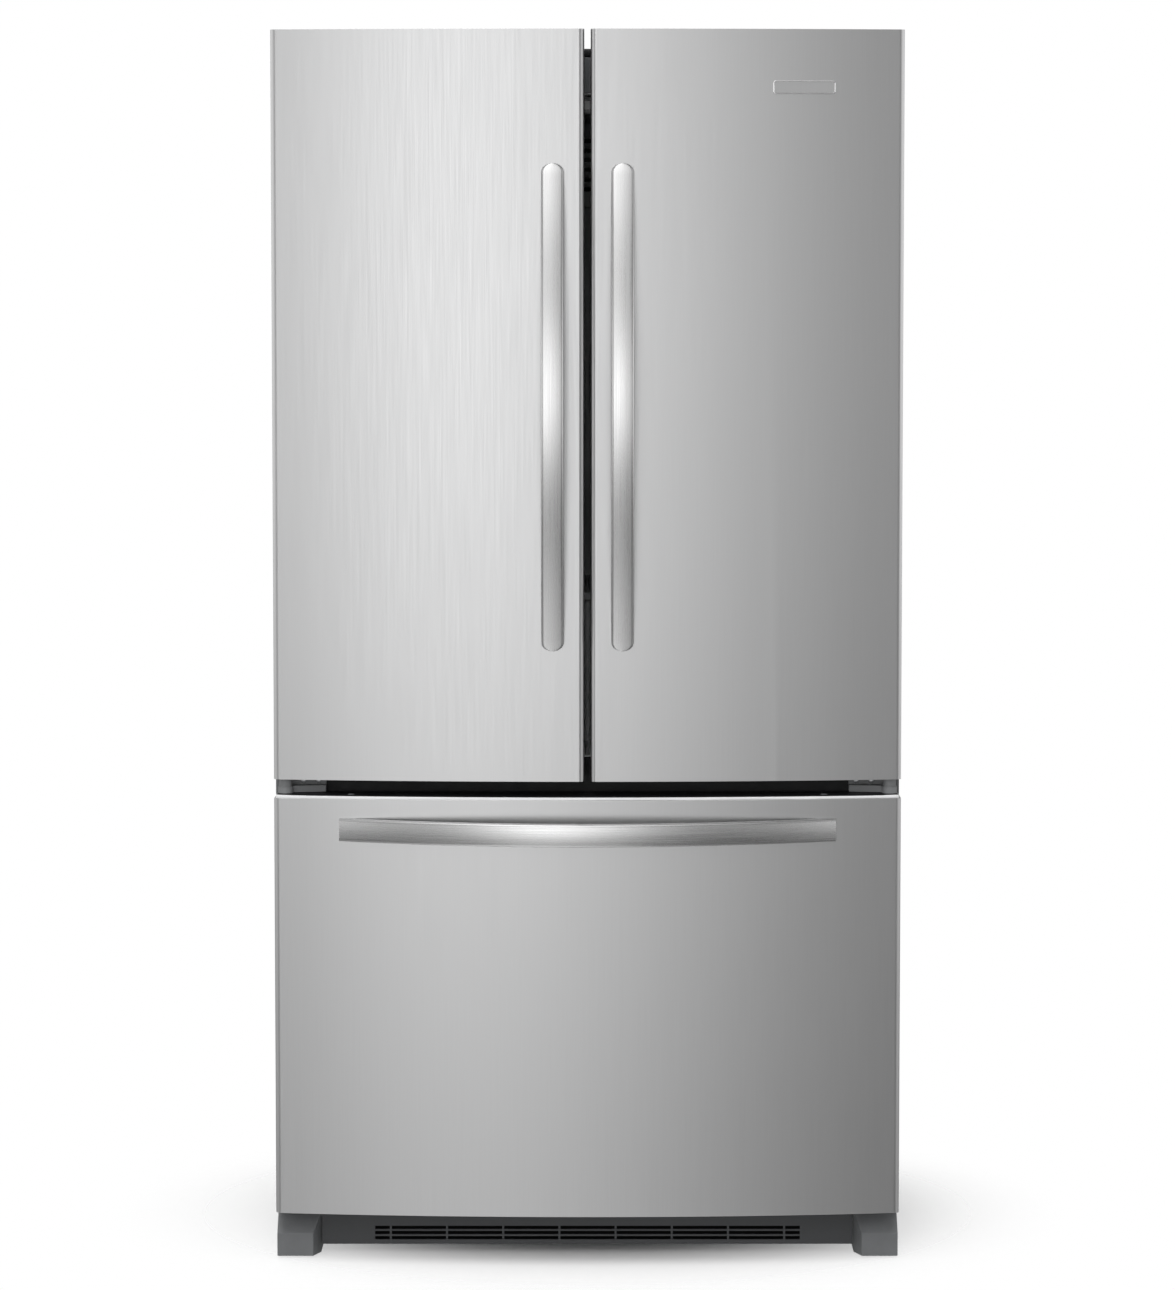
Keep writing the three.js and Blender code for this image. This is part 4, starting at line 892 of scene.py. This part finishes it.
def flap_details():
    lo, hi = node_box("mullion_flap")
    plate = box((hi.x - 0.2, hi.x + 0.5), (lo.y + 12, hi.y - 4), (lo.z + 16, hi.z - 16), 0.3, 0.2)
    add("flap_face_plate", GRILLE, plate, body="mullion_flap")
    caps = [box((lo.x + 1, hi.x - 1), (lo.y + 22, hi.y - 2), z, 4, 1.5)
            for z in ((lo.z - 3, lo.z + 2), (hi.z - 2, hi.z + 3))]
    add("flap_end_caps", DARK, *caps, body="mullion_flap", slot="black_plastic")


# -------------------- Freezer
# Radii of the wires, then the places of the crossed wires and the hoops.
THIN_WIRE, HOOP, RIM_WIRE, RAIL_WIRE, RAIL_LINK = 1.7, 2.2, 3.1, 2.8, 1.8
WIRE = {"inset": 3.0, "foot": 2.2, "top": 4, "bend": 22, "cross": 3.2, "pitch_y": 27, "pitch_x": 32}
HOOP_CORNER, RAIL_LINKS = 24, 7
BASKETS = (
    ("lower_wire_basket", "lower_basket", "freezer_drawer", 348, 17, (215, 290, 350)),
    ("upper_wire_basket", "upper_basket", "upper_basket", 352, 32, (495, 540)),
)


def u_wire(a, b, low, high, place):
    """A wire down one side, across the bottom and up the other, with bent corners."""
    corner = WIRE["bend"]
    turn = [QUARTER * k / 4 for k in range(5)]
    points = [(a, high)]
    points += [(a + corner - corner * math.cos(t), low + corner - corner * math.sin(t)) for t in turn]
    points += [(b - corner + corner * math.sin(t), low + corner - corner * math.cos(t)) for t in turn]
    points.append((b, high))
    return tube([metres(*place(p, z)) for p, z in points], THIN_WIRE, 6)


def hoop(half_x, middle_y, half_y, z, radius, sides):
    outline = rounded_rect(0, middle_y, half_x, half_y, HOOP_CORNER, 6)
    return tube(level_ring(outline, z), radius, sides, closed=True)


def wire_basket(name, node, body, half, rim, hoops):
    """Crossed wires, hoops round them, a thick rim, and beyond each side a rail that lies on the slides."""
    lo, hi = node_box(node)
    inset = WIRE["inset"]
    x0, x1, y0, y1 = -half + inset, half - inset, lo.y + inset, hi.y - inset
    low, high = lo.z + WIRE["foot"], hi.z - WIRE["top"]
    middle_y, half_y = middle_half((y0, y1))
    half_x = (x1 - x0) / 2
    count_y, count_x = round((y1 - y0) / WIRE["pitch_y"]), round((x1 - x0) / WIRE["pitch_x"])
    parts = []
    for k in range(1, count_y):
        y = y0 + (y1 - y0) * k / count_y
        parts.append(u_wire(x0, x1, low, high, lambda p, z: (p, y, z)))
    for k in range(1, count_x):
        x = x0 + (x1 - x0) * k / count_x
        parts.append(u_wire(y0, y1, low + WIRE["cross"], high, lambda p, z: (x, p, z)))
    for z in hoops:
        parts.append(hoop(half_x + 2.6, middle_y, half_y + 2.6, z, HOOP, 8))
    parts.append(hoop(half_x + 1.5, middle_y, half_y + 1.0, hi.z - 3.2, RIM_WIRE, 10))
    for side in (-1, 1):
        inner, outer, z = side * (half + 2), side * (half + rim - 3), hi.z - 3
        rail = ((inner, lo.y + 14, z), (outer, lo.y + 22, z), (outer, hi.y - 22, z), (inner, hi.y - 14, z))
        parts.append(tube([metres(*p) for p in rail], RAIL_WIRE, 8))
        for k in range(1, RAIL_LINKS):
            y = lo.y + (hi.y - lo.y) * k / RAIL_LINKS
            parts.append(tube([metres(side * (half - 3), y, z), metres(outer, y, z)], RAIL_LINK, 6))
    add(name, WIRE_COAT, *parts, body=body, replaces=[node], slot="basket_plastic")


SLIDE_BODIES = (("rail", "cabinet", 0), ("middle", "slide_middles", 3), ("inner", "freezer_drawer", 6))
CHANNEL_THICK, CHANNEL_LIP = 1.2, 3.0
LEDGE_X, LEDGE_Y = 352, (-196, 132)


def channel_section(web, mouth, z0, z1):
    """(x, z) outline of a C channel: web is its back's x and mouth its open side's."""
    thick, lip = CHANNEL_THICK, CHANNEL_LIP
    t = thick if mouth > web else -thick
    return [(web, z0), (mouth, z0), (mouth, z0 + lip), (mouth - t, z0 + lip), (mouth - t, z0 + thick),
            (web + t, z0 + thick), (web + t, z1 - thick), (mouth - t, z1 - thick), (mouth - t, z1 - lip),
            (mouth, z1 - lip), (mouth, z1), (web, z1)]


def slides():
    """Nested channels: rail and middle open inwards, and the inner one carries the basket's ledge."""
    for name, side in SIDES:
        for member, body, inset in SLIDE_BODIES:
            node = f"{name}_slide_{member}"
            lo, hi = node_box(node)
            outer, inner = (lo.x, hi.x) if side < 0 else (hi.x, lo.x)
            carries = member == "inner"
            web, mouth = (outer - side * 4, outer) if carries else (outer, inner)
            parts = [prism(channel_section(web, mouth, lo.z + inset, hi.z - inset), "y", lo.y, hi.y)]
            if carries:
                parts.append(box((web - side * 0.5, side * LEDGE_X), LEDGE_Y, (lo.z, lo.z + 2.6),
                                 1.2, 0.6, axis=1))
                parts.append(box((web, web - side * 2), LEDGE_Y, (lo.z, lo.z + 14), 0.8, 0.4, axis=1))
            add(f"{name}_slide_{member}_channel", ZINC, *parts, body=body, replaces=[node], edges=(0.25, 1))


GUARD_Z, GUARD_RINGS, GUARD_SPOKES, GUARD_SPAN = 560, (18, 30, 42), 8, (8, 50)
RETURN_SLOTS = {"count": 5, "low": 380, "pitch": 22, "height": 7, "half": 150}


def freezer_details():
    lo, hi = node_box("evaporator_cover")

    def on_guard(radius, t, out):
        return metres(radius * math.cos(t), lo.y - out, GUARD_Z + radius * math.sin(t))

    guard = [tube([on_guard(radius, TURN * k / 40, 1.4) for k in range(40)], 1.1, 6, closed=True)
             for radius in GUARD_RINGS]
    for k in range(GUARD_SPOKES):
        t = TURN * (k + 0.5) / GUARD_SPOKES
        guard.append(tube([on_guard(radius, t, 1.2) for radius in GUARD_SPAN], 1.2, 6))
    add("evaporator_fan_guard", WIRE_COAT, *guard)
    heads = [screw_head(x, lo.y, z, (0, -1, 0), 4, 1.8)
             for x in (lo.x + 16, hi.x - 16) for z in (lo.z + 18, hi.z - 18)]
    add("evaporator_cover_screws", ZINC, *heads)
    half, levels = RETURN_SLOTS["half"], range(RETURN_SLOTS["count"])
    # The return slots are flat dark patches on the cover: painted shade in their openings.
    slot_shades = [box(around(0, half), (lo.y - 0.3, lo.y + 1), (z, z + RETURN_SLOTS["height"]), 3.4, 0.1, axis=1)
             for z in (RETURN_SLOTS["low"] + k * RETURN_SLOTS["pitch"] for k in levels)]
    add("evaporator_return_slots", DARK, *slot_shades)


# -------------------- CAD nodes that keep their shape
# The material, the radius of the rounded edges and the rounding's segments; a name without its side is both.
CAD_FINISH = {
    "door_panel": (STEEL, 1.0, 3),
    "drawer_panel": (STEEL, 1.0, 3),
    "door_liner": (LINER, 3.0, 4),
    "drawer_liner": (LINER, 2.0, 3),
    "cabinet_shell": (CABINET, 0.8, 2),
    "insulation_foam": (FOAM, 0, 1),
    "fresh_food_liner": (LINER, 0.8, 2),
    "freezer_liner": (LINER, 0.8, 2),
    "center_rail": (BLACK, 1.5, 3),
    "rear_panel": (ZINC, 0.4, 1),
    "machine_cover": (DARK, 0.5, 2),
    "base_pan": (ZINC, 0.5, 2),
    "base_grille": (GRILLE, 0.6, 2),
    "leg_cover": (DARK, 1.2, 3),
    "leveling_leg": (ZINC, 0.8, 2),
    "top_hinge": (ZINC, 0.6, 2),
    "center_hinge": (BRACKET, 0.6, 2),
    "compressor": (BLACK_ENAMEL, 1.2, 3),
    "condenser_fan_motor": (BLACK, 0.8, 2),
    "condenser_fan": (BLACK, 0.4, 2),
    "evaporator_fan": (LINER, 0.3, 2),
    "evaporator_cover": (LINER, 0.6, 2),
    "rear_roller": (TYRE, 0.6, 2),
    "mullion_flap": (BLACK, 1.5, 3),
    "dairy_compartment": (CLEAR, 0.8, 2),
    "dairy_lid": (CLEAR, 0.8, 2),
}


# -------------------- Stage, in metres
CAMERA = {"place": (0.0, -6.548, 1.499), "down": 4.19, "lens": 122.0, "shift": -0.075, "reach": 60}
WORLD_STRENGTH = 2.6
WORLD_ACROSS = ((-1, 0.5), (-0.75, 0.42), (-0.55, 0.2), (-0.4, 0.26), (-0.3, 0.46), (-0.15, 1.1),
                (-0.03, 0.78), (0.1, 0.46), (0.22, 0.25), (0.35, 0.14), (0.55, 0.16), (0.75, 0.4), (1, 0.5))
WORLD_HEIGHT = ((-1, 0.4), (-0.55, 0.4), (-0.3, 0.17), (-0.17, 0.27), (-0.08, 0.86), (0, 1.1), (0.06, 0.93),
                (0.13, 0.55), (0.27, 0.33), (0.5, 0.75), (1, 0.8))
FLOOR_SIZE, FLOOR_Y, FLOOR_REACH, FLOOR_WHOLE = 3.0, 0.06, (0.75, 0.62), 0.35
# name, place, the point it looks at, size, watts
LIGHTS = (("overhead", (0, -1.2, 4.5), (0, 0, 0), (5, 4), 92),
          ("front_fill", (-1.0, -5.0, 2.4), (0, 0, 0.9), (3, 3), 50))


def camera():
    data = bpy.data.cameras.new("camera")
    data.lens = CAMERA["lens"]
    data.shift_y = CAMERA["shift"]
    data.clip_end = CAMERA["reach"]
    obj = bpy.data.objects.new("camera", data)
    obj.location = CAMERA["place"]
    obj.rotation_euler = (math.radians(90 - CAMERA["down"]), 0, 0)
    show(obj)
    bpy.context.scene.camera = obj


def world_light():
    """A white studio whose brightness, seen in the steel, changes across and with height."""
    world = bpy.data.worlds.new("studio")
    bpy.context.scene.world = world
    world.use_nodes = True
    nodes, links = tree(world)
    background = nodes["Background"]
    place = nodes.new("ShaderNodeTexCoord")
    split = nodes.new("ShaderNodeSeparateXYZ")
    links.new(place.outputs["Generated"], split.inputs["Vector"])

    def ramp(socket, stops):
        spread = nodes.new("ShaderNodeMapRange")
        set_sockets(spread, From_Min=-1)
        links.new(socket, spread.inputs["Value"])
        made = nodes.new("ShaderNodeValToRGB")
        elements = made.color_ramp.elements
        while len(elements) < len(stops):
            elements.new(0.5)
        for element, (position, value) in zip(elements, stops):
            element.position = (position + 1) / 2
            element.color = (value, value, value, 1)
        made.color_ramp.interpolation = "EASE"
        links.new(spread.outputs["Result"], made.inputs["Fac"])
        return made.outputs["Color"]

    product = nodes.new("ShaderNodeMix")
    product.data_type = "RGBA"
    product.blend_type = "MULTIPLY"
    set_sockets(product, Factor=1)
    links.new(ramp(split.outputs["X"], WORLD_ACROSS), product.inputs["A"])
    links.new(ramp(split.outputs["Z"], WORLD_HEIGHT), product.inputs["B"])
    seen = nodes.new("ShaderNodeLightPath")
    choose = nodes.new("ShaderNodeMix")
    choose.data_type = "RGBA"
    links.new(seen.outputs["Is Camera Ray"], choose.inputs["Factor"])
    links.new(product.outputs["Result"], choose.inputs["A"])
    choose.inputs["B"].default_value = (1, 1, 1, 1)
    links.new(choose.outputs["Result"], background.inputs["Color"])
    strength = nodes.new("ShaderNodeMath")
    strength.operation = "MULTIPLY_ADD"
    strength.inputs[1].default_value = 1.0 - WORLD_STRENGTH
    strength.inputs[2].default_value = WORLD_STRENGTH
    links.new(seen.outputs["Is Camera Ray"], strength.inputs[0])
    links.new(strength.outputs["Value"], background.inputs["Strength"])


def floor():
    """A pale floor under the object that fades out, so that the white room goes on without an edge."""
    mesh = bpy.data.meshes.new("floor")
    corners = [(x * FLOOR_SIZE, y * FLOOR_SIZE, 0) for x, y in ((-1, -1), (1, -1), (1, 1), (-1, 1))]
    mesh.from_pydata(corners, [], [(0, 1, 2, 3)])
    obj = bpy.data.objects.new("floor", mesh)
    obj.location = (0, FLOOR_Y, 0)
    show(obj)
    material = new_material("floor_pale", None, (0.93, 0.93, 0.93), 0.9)
    nodes, links = tree(material)
    shader = nodes["Principled BSDF"]
    set_sockets(shader, Specular_IOR_Level=0.0)
    place = nodes.new("ShaderNodeTexCoord")
    squeeze = nodes.new("ShaderNodeMapping")
    set_sockets(squeeze, Scale=(1 / FLOOR_REACH[0], 1 / FLOOR_REACH[1], 0))
    links.new(place.outputs["Object"], squeeze.inputs["Vector"])
    length = nodes.new("ShaderNodeVectorMath")
    length.operation = "LENGTH"
    links.new(squeeze.outputs["Vector"], length.inputs[0])
    fade = nodes.new("ShaderNodeMapRange")
    fade.interpolation_type = "SMOOTHSTEP"
    set_sockets(fade, From_Min=FLOOR_WHOLE, From_Max=1.0, To_Min=1.0, To_Max=0.0)
    links.new(length.outputs["Value"], fade.inputs["Value"])
    links.new(fade.outputs["Result"], shader.inputs["Alpha"])
    obj.data.materials.append(material)


def area_light(name, place, target, size, watts):
    data = bpy.data.lights.new(name, "AREA")
    data.shape = "RECTANGLE"
    data.size, data.size_y = size
    data.energy = watts
    obj = bpy.data.objects.new(name, data)
    obj.location = place
    obj.rotation_euler = (Vector(target) - Vector(place)).to_track_quat("-Z", "Y").to_euler()
    obj.visible_glossy = False
    show(obj)


# -------------------- The whole
liner_coves()
shelf_tracks()
for node_name in [n for n in NODES if n.endswith("_shelf")]:
    shelf(node_name)
air_duct()
ceiling_parts()
for side_name, _ in SIDES:
    crisper(side_name)
crisper_cover()
for node_name in [n for n in NODES if n.endswith("_bin")]:
    door_bin(node_name)
dairy_details()
flap_details()
for basket in BASKETS:
    wire_basket(*basket)
slides()
freezer_details()
drain_pan()

camera()
world_light()
floor()
for light in LIGHTS:
    area_light(*light)
bpy.context.scene.view_settings.view_transform = "Standard"

door_handles()
drawer_handle()
badge()
for side_name, _ in SIDES:
    gasket(f"{side_name}_door_seal", f"{side_name}_door_gasket", f"{side_name}_door", 20)
gasket("drawer_seal", "drawer_gasket", "freezer_drawer", 16)
hinge_covers()
top_trim()
drawer_top_cap()
drawer_top_plugs()
center_hinge_screws()
base_baffle()
back_details()
condenser_coil()
machine_piping()

for part, finish in CAD_FINISH.items():
    for node_name in (part, f"left_{part}", f"right_{part}"):
        if node_name in NODES:
            dress(node_name, *finish)
